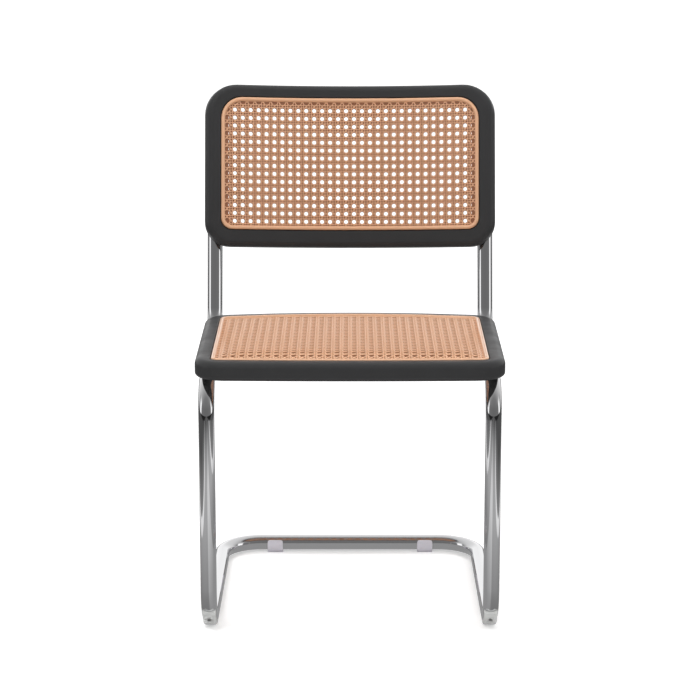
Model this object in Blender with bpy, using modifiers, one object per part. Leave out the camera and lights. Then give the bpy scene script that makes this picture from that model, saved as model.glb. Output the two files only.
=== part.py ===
"""A cantilever side chair: one bent steel tube carries a framed seat and a framed, bowed back.

Metres, +Z up, the sitter faces -Y. Lengths along Y are given from the front legs' axis, and a
parent empty then brings the middle of the chair over the origin.
"""

import math

import bmesh
import bpy
from mathutils import Matrix, Vector

# Fit between pieces
CLEARANCE = 0.0003

# Bent tube
TUBE_DIAMETER = 0.025
TUBE_WALL = 0.002
TUBE_AXIS_HEIGHT = 0.0155
LEG_INSIDE_SEAT = 0.01875
UPRIGHT_FLARE = 0.00575
BASE_DRAW_IN = 0.00475
REAR_BEND_BEHIND_SEAT = 0.032
REAR_BAR_BEHIND_BEND = 0.0215
REAR_BEND_RADIUS = 0.058
FRONT_BEND_RADIUS = 0.048
FLOOR_BEND_RADIUS = 0.060
REAR_CORNER_RADIUS = 0.065
UPRIGHT_TOP_BELOW_BACK = 0.042

# Plugs in the tube's two ends
PLUG_DEPTH = 0.014
PLUG_DOME = 0.003

# Seat frame, on a plane that falls to the rear
SEAT_HEIGHT = 0.4395
SEAT_SLOPE = math.radians(2.0)
SEAT_THICKNESS = 0.029
SEAT_WIDTH = 0.475
SEAT_OVERHANG = 0.020
SEAT_SIDE_LENGTH = 0.382
SEAT_REAR_BOW = 0.023
SEAT_FRONT_BOW = 0.005
SEAT_FRONT_CORNER = 0.048
SEAT_REAR_CORNER = 0.046
SEAT_TOP_ROUND = 0.011
SEAT_BOTTOM_ROUND = 0.006
SEAT_RAIL_WIDTH = 0.045

# Back frame, bowed around the sitter
BACK_RECLINE = math.radians(16.0)
BACK_CENTRE_HEIGHT = 0.6535
BACK_HEIGHT = 0.270
BACK_SIDE_OVERHANG = 0.0210
BACK_BOW_RADIUS = 0.860
BACK_THICKNESS = 0.026
BACK_TOP_CORNER = 0.051
BACK_BOTTOM_CORNER = 0.041
BACK_FRONT_ROUND = 0.010
BACK_REAR_ROUND = 0.007
BACK_RAIL_WIDTH = 0.038

# Moulded panels and the rebates that they lie in
SEAT_BORDER = 0.022
BACK_BORDER = 0.0221
BACK_BORDER_TOP = 0.0205
BACK_BORDER_BOTTOM = 0.0275
REBATE_DEPTH = 0.008
REBATE_GAP = 0.0012
RIM_WIDTH = 0.006
RIM_PROUD = 0.0015
RIM_ROUND = 0.0015
LATTICE_THICKNESS = 0.004
LATTICE_SUNK = 0.0015
LATTICE_PITCH = 0.0262
LATTICE_BAR = 0.011
LATTICE_MARGIN = 0.004
SEAT_PANEL_FRONT_CORNER = 0.014
SEAT_PANEL_REAR_CORNER = 0.018
BACK_PANEL_TOP_CORNER = 0.036
BACK_PANEL_BOTTOM_CORNER = 0.019
OPENING_CORNER = 0.012

# Dowels across the frame joints
SEAT_DOWEL_DIAMETER = 0.008
SEAT_DOWEL_LENGTH = 0.036
BACK_DOWEL_DIAMETER = 0.006
BACK_DOWEL_LENGTH = 0.030
DOWEL_EDGE = 0.011
DOWEL_SPREAD = 0.011
JOINT_PAST_CORNER = 0.005

# Screws
FRAME_SCREW_DIAMETER = 0.005
FRAME_SCREW_HEAD = 0.0095
FRAME_SCREW_HEAD_HEIGHT = 0.003
FRAME_SCREW_BITE = 0.016
SEAT_SCREW_FROM_JOINT = 0.044
BACK_SCREW_FROM_JOINT = 0.035
PANEL_SCREW_DIAMETER = 0.003
PANEL_SCREW_HEAD = 0.006
PANEL_SCREW_HEAD_HEIGHT = 0.002
PANEL_SCREW_BITE = 0.004
PANEL_SCREW_PLACE = 0.110
FOOT_SCREW_DIAMETER = 0.0035
FOOT_SCREW_HEAD = 0.007
FOOT_SCREW_HEAD_HEIGHT = 0.002
FOOT_SCREW_BITE = 0.006

# Clear saddles under the floor bends
SADDLE_WIDTH = 0.022
SADDLE_RADIUS = 0.0175
SADDLE_TAIL = 0.030
SADDLE_WRAP = math.radians(62)
SADDLE_SCREW_ANGLE = math.radians(46)

# White clips on the rear bar
CLIP_LENGTH = 0.0257
CLIP_RADIUS = 0.0165
CLIP_SPACING = 0.254
CLIP_LIP_ANGLE = math.radians(20)

# Facets
ARC_STEP = math.radians(15)
TUBE_SIDES = 12
CORNER_STEPS = 6
ROUND_STEPS = 3
BOW_STEPS = 6
TURN_STEPS = 10
COLUMNS_PER_FACET = 2

TUBE_RADIUS = TUBE_DIAMETER / 2
LEG_SPACING = SEAT_WIDTH - 2 * LEG_INSIDE_SEAT
UPRIGHT_SPACING = LEG_SPACING + 2 * UPRIGHT_FLARE
BASE_REAR_SPACING = LEG_SPACING - 2 * BASE_DRAW_IN
REAR_BEND_DISTANCE = SEAT_SIDE_LENGTH - SEAT_OVERHANG + REAR_BEND_BEHIND_SEAT
REAR_BAR_DISTANCE = REAR_BEND_DISTANCE + REAR_BAR_BEHIND_BEND


def cleared_scene():
    """Removes what the scene holds and returns new collections for the chair and its cutters."""
    for obj in list(bpy.data.objects):
        bpy.data.objects.remove(obj, do_unlink=True)
    found = []
    for name in ("cantilever_chair", "cutters"):
        collection = bpy.data.collections.new(name)
        bpy.context.scene.collection.children.link(collection)
        found.append(collection)
    return found


CHAIR, CUTTERS = cleared_scene()


def finish(name, colour, roughness, metallic=0.0, alpha=1.0):
    """A plain material in the piece's own colour."""
    material = bpy.data.materials.new(name)
    material.use_nodes = True
    shader = material.node_tree.nodes["Principled BSDF"]
    shader.inputs["Base Color"].default_value = (*colour, 1.0)
    shader.inputs["Roughness"].default_value = roughness
    shader.inputs["Metallic"].default_value = metallic
    shader.inputs["Alpha"].default_value = alpha
    return material


LACQUER = finish("black_lacquer", (0.035, 0.035, 0.036), 0.38)
CHROME = finish("chrome_tube", (0.72, 0.72, 0.73), 0.08, 1.0)
CANE = finish("cane_coloured_plastic", (0.74, 0.42, 0.24), 0.5)
CLEAR = finish("clear_plastic", (0.86, 0.87, 0.86), 0.15, 0.0, 0.6)
WHITE = finish("white_nylon", (0.72, 0.70, 0.76), 0.45)
STEEL = finish("zinc_plated_screws", (0.55, 0.55, 0.54), 0.35, 1.0)
BEECH = finish("beech_dowels", (0.62, 0.44, 0.27), 0.6)
PLUG = finish("black_plugs", (0.03, 0.03, 0.03), 0.5)


def frame_empty(name, parent, location, tilt=0.0):
    """An empty that carries pieces, turned about X by tilt."""
    empty = bpy.data.objects.new(name, None)
    CHAIR.objects.link(empty)
    empty.parent = parent
    empty.location = location
    empty.rotation_euler = (tilt, 0.0, 0.0)
    return empty


def piece(name, mesh, material, parent, smooth=math.radians(35)):
    """The finished sub-part, shaded smooth where its facets meet at less than the given angle."""
    obj = bpy.data.objects.new(name, mesh)
    CHAIR.objects.link(obj)
    mesh.materials.clear()
    mesh.materials.append(material)
    mesh.shade_smooth()
    mesh.set_sharp_from_angle(angle=smooth)
    obj.parent = parent
    return obj


def copies(name, mesh, material, parent, places):
    """Like pieces that share a mesh, each its own object at its place."""
    for number, place in enumerate(places, 1):
        piece(f"{name}_{number}", mesh, material, parent).matrix_local = place


def mesh_from(bm, name):
    """Closes the edit and returns its mesh with the faces pointing out."""
    bmesh.ops.recalc_face_normals(bm, faces=bm.faces)
    mesh = bpy.data.meshes.new(name)
    bm.to_mesh(mesh)
    bm.free()
    return mesh


def mesh_of(obj):
    """The evaluated mesh of a working object in its own space, welded, with the object removed."""
    bpy.context.view_layer.update()
    graph = bpy.context.evaluated_depsgraph_get()
    mesh = bpy.data.meshes.new_from_object(obj.evaluated_get(graph))
    bpy.data.objects.remove(obj, do_unlink=True)
    bm = bmesh.new()
    bm.from_mesh(mesh)
    bmesh.ops.remove_doubles(bm, verts=bm.verts, dist=1e-6)
    return mesh_from(bm, mesh.name)


def turned(mesh, matrix):
    """A copy of a mesh moved by a matrix."""
    bm = bmesh.new()
    bm.from_mesh(mesh)
    bmesh.ops.transform(bm, matrix=matrix, verts=bm.verts)
    return mesh_from(bm, mesh.name)


def joined(meshes):
    """One mesh that holds several separate solids."""
    bm = bmesh.new()
    for mesh in meshes:
        bm.from_mesh(mesh)
    return mesh_from(bm, meshes[0].name)


def cut(mesh, cutter, operation="DIFFERENCE"):
    """The mesh after a Boolean with the cutter mesh, both in the same space."""
    body = bpy.data.objects.new("body", mesh)
    tool = bpy.data.objects.new("tool", cutter)
    for obj in (body, tool):
        CUTTERS.objects.link(obj)
    modifier = body.modifiers.new("cut", "BOOLEAN")
    modifier.operation = operation
    modifier.object = tool
    result = mesh_of(body)
    bpy.data.objects.remove(tool, do_unlink=True)
    return result


def arc_steps(turn):
    """How many straight steps a bend of the given turn is drawn in."""
    return max(2, round(turn / ARC_STEP))


def rounded(corners, radii, steps=None, closed=False):
    """The points of a path through the corners, with an arc of the given radius at each."""
    corners = [Vector(corner) for corner in corners]
    count = len(corners)
    points = []
    for i, (corner, radius) in enumerate(zip(corners, radii)):
        if radius == 0 or (not closed and i in (0, count - 1)):
            points.append(corner)
            continue
        before = (corners[i - 1] - corner).normalized()
        after = (corners[(i + 1) % count] - corner).normalized()
        half = before.angle(after) / 2
        turn = math.pi - 2 * half
        middle = corner + (before + after).normalized() * (radius / math.sin(half))
        start = corner + before * (radius / math.tan(half)) - middle
        across = (-before - start.normalized() * (-before).dot(start.normalized())).normalized()
        number = steps or arc_steps(turn)
        for k in range(number + 1):
            angle = turn * k / number
            points.append(middle + start * math.cos(angle) + across * (radius * math.sin(angle)))
    return points


def plate(outlines, thickness):
    """A flat plate from z = 0 up, bounded by the first outline and holed by the others."""
    curve = bpy.data.curves.new("plate", "CURVE")
    curve.dimensions = "2D"
    curve.fill_mode = "BOTH"
    curve.extrude = thickness / 2
    for outline in outlines:
        spline = curve.splines.new("POLY")
        spline.points.add(len(outline) - 1)
        for point, place in zip(spline.points, outline):
            point.co = (place[0], place[1], 0.0, 1.0)
        spline.use_cyclic_u = True
    obj = bpy.data.objects.new("plate", curve)
    CUTTERS.objects.link(obj)
    mesh = mesh_of(obj)
    bpy.data.curves.remove(curve)
    return turned(mesh, Matrix.Translation((0.0, 0.0, thickness / 2)))


def merged_flats(mesh):
    """The mesh with its coplanar triangles merged to whole faces."""
    bm = bmesh.new()
    bm.from_mesh(mesh)
    bmesh.ops.dissolve_limit(bm, angle_limit=1e-3, verts=bm.verts, edges=bm.edges)
    return mesh_from(bm, mesh.name)


def edges_rounded(mesh, height, radius):
    """The plate with the outline's edge at one height rounded over."""
    bm = bmesh.new()
    bm.from_mesh(mesh)
    edges = [e for e in bm.edges if all(abs(v.co.z - height) < 1e-6 for v in e.verts)]
    bmesh.ops.bevel(
        bm, geom=edges, offset=radius, segments=ROUND_STEPS, profile=0.5, affect="EDGES"
    )
    return mesh_from(bm, mesh.name)


def kept(mesh, planes):
    """What lies behind each plane, given as a point and the direction that is cut away."""
    bm = bmesh.new()
    bm.from_mesh(mesh)
    for point, away in planes:
        geometry = bm.verts[:] + bm.edges[:] + bm.faces[:]
        bmesh.ops.bisect_plane(
            bm, geom=geometry, plane_co=point, plane_no=away, clear_outer=True, dist=1e-7
        )
        bmesh.ops.holes_fill(bm, edges=[e for e in bm.edges if e.is_boundary], sides=0)
    return mesh_from(bm, mesh.name)


def path_tube(points, radius, sides, caps=True):
    """A round bar along the points."""
    curve = bpy.data.curves.new("bar", "CURVE")
    curve.dimensions = "3D"
    curve.bevel_depth = radius
    curve.bevel_resolution = (sides - 4) // 2
    curve.use_fill_caps = caps
    spline = curve.splines.new("POLY")
    spline.points.add(len(points) - 1)
    for point, place in zip(spline.points, points):
        point.co = (*place, 1.0)
    obj = bpy.data.objects.new("bar", curve)
    CUTTERS.objects.link(obj)
    return obj


def cylinder(radius, low, high):
    """A closed cylinder along z between two heights."""
    bm = bmesh.new()
    bmesh.ops.create_cone(
        bm,
        cap_ends=True,
        segments=TURN_STEPS,
        radius1=radius,
        radius2=radius,
        depth=high - low,
        matrix=Matrix.Translation((0.0, 0.0, (low + high) / 2)),
    )
    return mesh_from(bm, "cylinder")


def lathe(profile):
    """A turned solid from a profile of radius and height, run down its outer side."""
    mesh = bpy.data.meshes.new("profile")
    points = [(radius, 0.0, height) for radius, height in profile]
    mesh.from_pydata(points, [(i, i + 1) for i in range(len(points) - 1)], [])
    obj = bpy.data.objects.new("profile", mesh)
    CUTTERS.objects.link(obj)
    screw = obj.modifiers.new("turn", "SCREW")
    screw.steps = screw.render_steps = TURN_STEPS
    screw.use_merge_vertices = True
    screw.merge_threshold = 1e-5
    return mesh_of(obj)


def pan_screw(diameter, length, head, head_height):
    """A pan-head screw with its head's underside at z = 0 and its shank running up."""
    return lathe(
        [
            (0.0, length),
            (diameter / 2, length - diameter / 2),
            (diameter / 2, 0.0),
            (head / 2, 0.0),
            ((head - head_height) / 2, -head_height),
            (0.0, -head_height),
        ]
    )


def aimed(place, direction):
    """A matrix that puts z = 0 at a place with +z along a direction."""
    turn = Vector(direction).to_track_quat("Z", "Y").to_matrix().to_4x4()
    return Matrix.Translation(place) @ turn


def drilled(mesh, bores):
    """The mesh with round holes along the z axes of matrices: (diameter, low, high, matrices)."""
    for diameter, low, high, matrices in bores:
        bore = cylinder(diameter / 2, low, high)
        mesh = cut(mesh, joined([turned(bore, matrix) for matrix in matrices]))
    return mesh


# Tube


def seat_tube_height(distance):
    """Height of the seat tubes' axis at a distance behind the legs."""
    below_top = SEAT_THICKNESS + CLEARANCE + TUBE_RADIUS
    return SEAT_HEIGHT - below_top / math.cos(SEAT_SLOPE) - distance * math.tan(SEAT_SLOPE)


def upright_top():
    """How far above the rear bend's corner the upright ends, measured along it."""
    middle = (BACK_CENTRE_HEIGHT - seat_tube_height(REAR_BEND_DISTANCE)) / math.cos(BACK_RECLINE)
    return middle + BACK_HEIGHT / 2 - UPRIGHT_TOP_BELOW_BACK


def tube_corners(side):
    """The corners of one side's path, from the upright's top down to the rear bar."""
    upright, leg, rear = (
        side * spacing / 2 for spacing in (UPRIGHT_SPACING, LEG_SPACING, BASE_REAR_SPACING)
    )
    bend_height = seat_tube_height(REAR_BEND_DISTANCE)
    reach = upright_top()
    return [
        (
            upright,
            REAR_BEND_DISTANCE + reach * math.sin(BACK_RECLINE),
            bend_height + reach * math.cos(BACK_RECLINE),
        ),
        (upright, REAR_BEND_DISTANCE, bend_height),
        (leg, 0.0, seat_tube_height(0.0)),
        (leg, 0.0, TUBE_AXIS_HEIGHT),
        (rear, REAR_BAR_DISTANCE, TUBE_AXIS_HEIGHT),
    ]


def bend_radii():
    return [0.0, REAR_BEND_RADIUS, FRONT_BEND_RADIUS, FLOOR_BEND_RADIUS, REAR_CORNER_RADIUS]


def tube_path():
    """The whole axis of the bent tube, from one upright's top to the other's."""
    return rounded(
        tube_corners(1) + tube_corners(-1)[::-1],
        bend_radii() + bend_radii()[::-1],
    )


def seat_screw_places():
    """Where the seat's screws cross the tube's axis, with the way in which they are driven."""
    up = Vector((0.0, math.sin(SEAT_SLOPE), math.cos(SEAT_SLOPE)))
    found = []
    front, rear = seat_joints()
    for side in (1, -1):
        for distance in (front + SEAT_SCREW_FROM_JOINT, rear - SEAT_SCREW_FROM_JOINT):
            share = distance / REAR_BEND_DISTANCE
            half = (LEG_SPACING + share * (UPRIGHT_SPACING - LEG_SPACING)) / 2
            found.append(aimed((side * half, distance, seat_tube_height(distance)), up))
    return found


def floor_bend_matrix(side):
    """Places the floor bend's corner, with y along the base rail, which draws in to the rear."""
    heading = math.atan(side * (LEG_SPACING - BASE_REAR_SPACING) / 2 / REAR_BAR_DISTANCE)
    place = Matrix.Translation((side * LEG_SPACING / 2, 0.0, TUBE_AXIS_HEIGHT))
    return place @ Matrix.Rotation(heading, 4, "Z")


def saddle_screw_places():
    """Where the saddles' screws cross the tube's axis, aimed from outside to the bend's centre."""
    inward = Vector((0.0, math.sin(SADDLE_SCREW_ANGLE), math.cos(SADDLE_SCREW_ANGLE)))
    middle = Vector((0.0, FLOOR_BEND_RADIUS, FLOOR_BEND_RADIUS))
    place = aimed(middle - inward * FLOOR_BEND_RADIUS, inward)
    return [floor_bend_matrix(side) @ place for side in (1, -1)]


def tube_mesh(back_screws):
    """The hollow tube, cross-drilled for its screws."""
    bar = path_tube(tube_path(), TUBE_RADIUS, TUBE_SIDES, caps=False)
    wall = bar.modifiers.new("wall", "SOLIDIFY")
    wall.thickness = TUBE_WALL
    wall.offset = -1.0
    mesh = mesh_of(bar)
    reach = TUBE_DIAMETER
    through = seat_screw_places() + back_screws
    return drilled(
        mesh,
        [
            (FRAME_SCREW_DIAMETER + 2 * CLEARANCE, -reach, reach, through),
            (FOOT_SCREW_DIAMETER + 2 * CLEARANCE, -reach, 0.0, saddle_screw_places()),
        ],
    )


def plug_mesh():
    """A domed plug with its rim at z = 0 and its stem running down into the faceted bore."""
    stem = (TUBE_RADIUS - TUBE_WALL) * math.cos(math.pi / TUBE_SIDES) - CLEARANCE
    return lathe(
        [
            (0.0, PLUG_DOME),
            (TUBE_RADIUS * 0.6, PLUG_DOME * 0.8),
            (TUBE_RADIUS, CLEARANCE + PLUG_DOME * 0.3),
            (TUBE_RADIUS, CLEARANCE),
            (stem, CLEARANCE),
            (stem, -PLUG_DEPTH),
            (0.0, -PLUG_DEPTH),
        ]
    )


# Seat


def seat_outline(inset, front_corner, rear_corner, gap=0.0):
    """The seat's outline drawn in by an inset, in the seat's plane, from the legs' axis."""
    inset = inset + gap
    half = SEAT_WIDTH / 2 - inset
    front = -SEAT_OVERHANG + inset
    rear_side = -SEAT_OVERHANG + SEAT_SIDE_LENGTH - inset
    corners, radii = [], []
    for k in range(BOW_STEPS + 1):
        share = 2 * k / BOW_STEPS - 1
        corners.append((share * half, front + SEAT_FRONT_BOW * share * share, 0.0))
        radii.append(front_corner if abs(share) == 1 else 0.0)
    for k in range(BOW_STEPS + 1):
        share = 1 - 2 * k / BOW_STEPS
        corners.append((share * half, rear_side + SEAT_REAR_BOW * (1 - share * share), 0.0))
        radii.append(rear_corner if abs(share) == 1 else 0.0)
    return rounded(corners, radii, CORNER_STEPS, closed=True)


def holed_frame(outline, rebate, opening, thickness, front_round, rear_round):
    """A flat frame with its outer edges rounded, its opening cut and its rebate sunk."""
    mesh = merged_flats(plate([outline], thickness))
    mesh = edges_rounded(mesh, thickness, front_round)
    mesh = edges_rounded(mesh, 0.0, rear_round)
    through = plate([opening], 2 * thickness)
    mesh = cut(mesh, turned(through, Matrix.Translation((0.0, 0.0, -thickness / 2))))
    sunk = turned(plate([rebate], thickness), Matrix.Translation((0.0, 0.0, thickness - REBATE_DEPTH)))
    return merged_flats(cut(mesh, sunk))


def seat_joints():
    """The places along the seat of its front and rear joint planes."""
    front = -SEAT_OVERHANG + SEAT_FRONT_BOW + SEAT_FRONT_CORNER + JOINT_PAST_CORNER
    rear = -SEAT_OVERHANG + SEAT_SIDE_LENGTH - SEAT_REAR_CORNER - JOINT_PAST_CORNER
    return front, rear


def dowel_places_across(half_width, spread, height, joints):
    """A place and heading for each dowel: two at each end of each joint plane."""
    found = []
    for joint in joints:
        for side in (1, -1):
            for k in (0, 1):
                across = side * (half_width - DOWEL_EDGE - k * spread)
                found.append(((across, joint, height), (0.0, 1.0, 0.0)))
    return found


def seat_dowel_places():
    """Two dowels abreast in each of the seat frame's four joints."""
    height = (SEAT_THICKNESS - REBATE_DEPTH) / 2
    spread = SEAT_RAIL_WIDTH - 2 * DOWEL_EDGE
    places = dowel_places_across(SEAT_WIDTH / 2, spread, height, seat_joints())
    return [aimed(place, heading) for place, heading in places]


def panel_screw_columns():
    """How far to either side of the middle the panels' screws stand."""
    return -PANEL_SCREW_PLACE, 0.0, PANEL_SCREW_PLACE


def seat_panel_screws():
    """Places of the screws that come up through the seat frame's front and rear ledges."""
    inset = SEAT_BORDER + RIM_WIDTH + REBATE_GAP
    found = []
    for x in panel_screw_columns():
        share = x / (SEAT_WIDTH / 2 - inset)
        front = -SEAT_OVERHANG + inset + SEAT_FRONT_BOW * share * share
        rear = -SEAT_OVERHANG + SEAT_SIDE_LENGTH - inset + SEAT_REAR_BOW * (1 - share * share)
        found += [(x, front), (x, rear)]
    return found


def lattice_holes(opening_half_width, low, high):
    """The middles of square holes on a grid that keeps clear of the opening's edge all round."""
    size = LATTICE_PITCH - LATTICE_BAR
    columns = int((opening_half_width - LATTICE_MARGIN - size / 2) // LATTICE_PITCH)
    rows = int((high - low - 2 * LATTICE_MARGIN - size) // LATTICE_PITCH)
    first = (low + high) / 2 - rows * LATTICE_PITCH / 2
    found = []
    for row in range(rows + 1):
        for column in range(-columns, columns + 1):
            found.append((column * LATTICE_PITCH, first + row * LATTICE_PITCH))
    return found


def panel_mesh(outline, inner, holes, floor):
    """A moulded panel: a rounded rim, and a thinner lattice let into it just below its top.

    floor is the height of the rebate that it lies on.
    """
    bottom = floor + CLEARANCE
    top = floor + REBATE_DEPTH + RIM_PROUD
    web_top = floor + REBATE_DEPTH - LATTICE_SUNK
    panel = merged_flats(plate([outline], top - bottom))
    panel = edges_rounded(panel, top - bottom, RIM_ROUND)
    panel = turned(panel, Matrix.Translation((0.0, 0.0, bottom)))
    pocket = plate([inner], REBATE_DEPTH)
    for level in (web_top, web_top - LATTICE_THICKNESS - REBATE_DEPTH):
        panel = cut(panel, turned(pocket, Matrix.Translation((0.0, 0.0, level))))
    bm = bmesh.new()
    size = LATTICE_PITCH - LATTICE_BAR
    block = Matrix.Diagonal((size, size, REBATE_DEPTH, 1.0))
    for x, y in holes:
        place = Matrix.Translation((x, y, web_top - LATTICE_THICKNESS / 2))
        bmesh.ops.create_cube(bm, size=1.0, matrix=place @ block)
    return cut(panel, mesh_from(bm, "holes"))


def panel_bore(floor, screws):
    """The blind holes in a panel's rim for its screws."""
    return PANEL_SCREW_DIAMETER + 2 * CLEARANCE, 0.0, floor + PANEL_SCREW_BITE + 3 * CLEARANCE, screws


def build_seat(root):
    """The seat frame's four rails, its dowels, its panel and the panel's screws."""
    origin = (0.0, 0.0, SEAT_HEIGHT - SEAT_THICKNESS / math.cos(SEAT_SLOPE))
    plane = frame_empty("seat_plane", root, origin, -SEAT_SLOPE)
    floor = SEAT_THICKNESS - REBATE_DEPTH
    rebate = seat_outline(SEAT_BORDER, SEAT_PANEL_FRONT_CORNER, SEAT_PANEL_REAR_CORNER)
    opening = seat_outline(SEAT_RAIL_WIDTH, OPENING_CORNER, OPENING_CORNER)
    ring = holed_frame(
        seat_outline(0.0, SEAT_FRONT_CORNER, SEAT_REAR_CORNER),
        rebate,
        opening,
        SEAT_THICKNESS,
        SEAT_TOP_ROUND,
        SEAT_BOTTOM_ROUND,
    )
    dowels = seat_dowel_places()
    screws = [aimed((x, y, 0.0), (0, 0, 1)) for x, y in seat_panel_screws()]
    to_plane = (Matrix.Translation(origin) @ Matrix.Rotation(-SEAT_SLOPE, 4, "X")).inverted()
    tube_screws = [to_plane @ place for place in seat_screw_places()]
    bores = frame_bores(SEAT_DOWEL_DIAMETER, SEAT_DOWEL_LENGTH, dowels, tube_screws, screws, floor)
    for name, mesh in split_frame(ring, "seat", seat_joints(), ("front_rail", "rear_rail")):
        piece(name, drilled(mesh, bores), LACQUER, plane)
    dowel = cylinder(SEAT_DOWEL_DIAMETER / 2, -SEAT_DOWEL_LENGTH / 2, SEAT_DOWEL_LENGTH / 2)
    copies("seat_dowel", dowel, BEECH, plane, dowels)
    panel = panel_mesh(
        seat_outline(SEAT_BORDER, SEAT_PANEL_FRONT_CORNER, SEAT_PANEL_REAR_CORNER, REBATE_GAP),
        seat_outline(
            SEAT_BORDER + 2 * RIM_WIDTH, SEAT_PANEL_FRONT_CORNER / 2, SEAT_PANEL_REAR_CORNER / 2
        ),
        lattice_holes(
            SEAT_WIDTH / 2 - SEAT_RAIL_WIDTH,
            -SEAT_OVERHANG + SEAT_RAIL_WIDTH + SEAT_FRONT_BOW,
            -SEAT_OVERHANG + SEAT_SIDE_LENGTH - SEAT_RAIL_WIDTH,
        ),
        floor,
    )
    piece("seat_panel", drilled(panel, [panel_bore(floor, screws)]), CANE, plane)
    screw = pan_screw(
        PANEL_SCREW_DIAMETER,
        floor + PANEL_SCREW_BITE + CLEARANCE,
        PANEL_SCREW_HEAD,
        PANEL_SCREW_HEAD_HEIGHT,
    )
    seated = [place @ Matrix.Translation((0, 0, -CLEARANCE)) for place in screws]
    copies("seat_panel_screw", screw, STEEL, plane, seated)


def frame_bores(dowel_diameter, dowel_length, dowels, tube_screws, panel_screws, floor):
    """The holes in a frame: for its dowels, for the screws from the tube and for the panel's."""
    half = dowel_length / 2 + CLEARANCE
    bite = TUBE_RADIUS + FRAME_SCREW_BITE + 2 * CLEARANCE
    return [
        (dowel_diameter + 2 * CLEARANCE, -half, half, dowels),
        (FRAME_SCREW_DIAMETER + 2 * CLEARANCE, 0.0, bite, tube_screws),
        (PANEL_SCREW_DIAMETER + 2 * CLEARANCE, -floor, 2 * floor, panel_screws),
    ]


def split_frame(ring, name, joints, ends):
    """The frame cut at its two joint planes: an end rail with each pair of corners, two sides."""
    low, high = joints
    gap = CLEARANCE / 2
    along = Vector((0.0, 1.0, 0.0))
    across = Vector((1.0, 0.0, 0.0))
    yield f"{name}_{ends[0]}", kept(ring, [((0, low - gap, 0), along)])
    yield f"{name}_{ends[1]}", kept(ring, [((0, high + gap, 0), -along)])
    middle = kept(ring, [((0, low + gap, 0), -along), ((0, high - gap, 0), along)])
    side_name = "rail" if name == "seat" else "stile"
    yield f"{name}_left_{side_name}", kept(middle, [((0, 0, 0), across)])
    yield f"{name}_right_{side_name}", kept(middle, [((0, 0, 0), -across)])


# Back


def bow_angle(x):
    return x / BACK_BOW_RADIUS


def bowed_place(x, y, z):
    """Where the bow carries a place of the flat back: its front face lies on the bow's radius."""
    radius = BACK_BOW_RADIUS + BACK_THICKNESS - z
    angle = bow_angle(x)
    depth = BACK_BOW_RADIUS + BACK_THICKNESS - radius * math.cos(angle)
    return Vector((radius * math.sin(angle), y, depth))


def bow_cuts():
    """The upright planes between which the bow is straight, each midway between two columns."""
    facet = COLUMNS_PER_FACET * LATTICE_PITCH
    count = math.ceil(back_half_arc() / facet) + 1
    one_side = [LATTICE_PITCH / 2 + k * facet for k in range(count)]
    return [-x for x in one_side[::-1]] + one_side


def bowed(mesh):
    """The flat mesh carried onto the bow, straight between the planes that cut it."""
    bm = bmesh.new()
    bm.from_mesh(mesh)
    cuts = bow_cuts()
    for x in cuts:
        geometry = bm.verts[:] + bm.edges[:] + bm.faces[:]
        bmesh.ops.bisect_plane(
            bm, geom=geometry, plane_co=(x, 0, 0), plane_no=(1, 0, 0), dist=1e-6
        )
    for vert in bm.verts:
        x, y, z = vert.co
        k = min(range(len(cuts) - 1), key=lambda i: abs((cuts[i] + cuts[i + 1]) / 2 - x))
        share = (x - cuts[k]) / (cuts[k + 1] - cuts[k])
        vert.co = bowed_place(cuts[k], y, z).lerp(bowed_place(cuts[k + 1], y, z), share)
    return mesh_from(bm, mesh.name)


def back_outline(borders, top_corner, bottom_corner, gap=0.0):
    """The flat back's outline drawn in by side, top and bottom borders."""
    side, top, bottom = (border + gap for border in borders)
    half = back_half_arc() - side
    low, high = -BACK_HEIGHT / 2 + bottom, BACK_HEIGHT / 2 - top
    corners = [(-half, low, 0), (half, low, 0), (half, high, 0), (-half, high, 0)]
    radii = [bottom_corner, bottom_corner, top_corner, top_corner]
    return rounded(corners, radii, CORNER_STEPS, closed=True)


def back_contact():
    """Angle round the bow at which the upright touches the stile's rear face."""
    reach = TUBE_RADIUS + CLEARANCE
    return math.asin(UPRIGHT_SPACING / 2 / (BACK_BOW_RADIUS + BACK_THICKNESS + reach))


def back_half_arc():
    """Half the back's width, measured round the front of its bow, past the upright it rests on."""
    return BACK_BOW_RADIUS * back_contact() + BACK_SIDE_OVERHANG


def upright_depth():
    """Depth of the uprights' axis behind the flat back's rear face at its middle, as local z."""
    reach = BACK_BOW_RADIUS + BACK_THICKNESS + TUBE_RADIUS + CLEARANCE
    return BACK_BOW_RADIUS + BACK_THICKNESS - reach * math.cos(back_contact())


def back_matrix():
    """Places the flat back's middle against the uprights at their recline."""
    rise = BACK_CENTRE_HEIGHT - seat_tube_height(REAR_BEND_DISTANCE)
    on_axis = Vector((0.0, REAR_BEND_DISTANCE + rise * math.tan(BACK_RECLINE), BACK_CENTRE_HEIGHT))
    turn = Matrix.Rotation(math.pi / 2 - BACK_RECLINE, 4, "X")
    return Matrix.Translation(on_axis) @ turn @ Matrix.Translation((0, 0, -upright_depth()))


def back_screw_places():
    """Where the back's screws cross the uprights' axes, in the back's own space."""
    low, high = back_joints()
    found = []
    for side in (1, -1):
        angle = side * back_contact()
        inward = Vector((-math.sin(angle), 0.0, math.cos(angle)))
        for y in (low + BACK_SCREW_FROM_JOINT, high - BACK_SCREW_FROM_JOINT):
            found.append(aimed((side * UPRIGHT_SPACING / 2, y, upright_depth()), inward))
    return found


def back_joints():
    """The heights, from the back's middle, of its lower and upper joint planes."""
    low = -BACK_HEIGHT / 2 + BACK_BOTTOM_CORNER + JOINT_PAST_CORNER
    high = BACK_HEIGHT / 2 - BACK_TOP_CORNER - JOINT_PAST_CORNER
    return low, high


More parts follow.
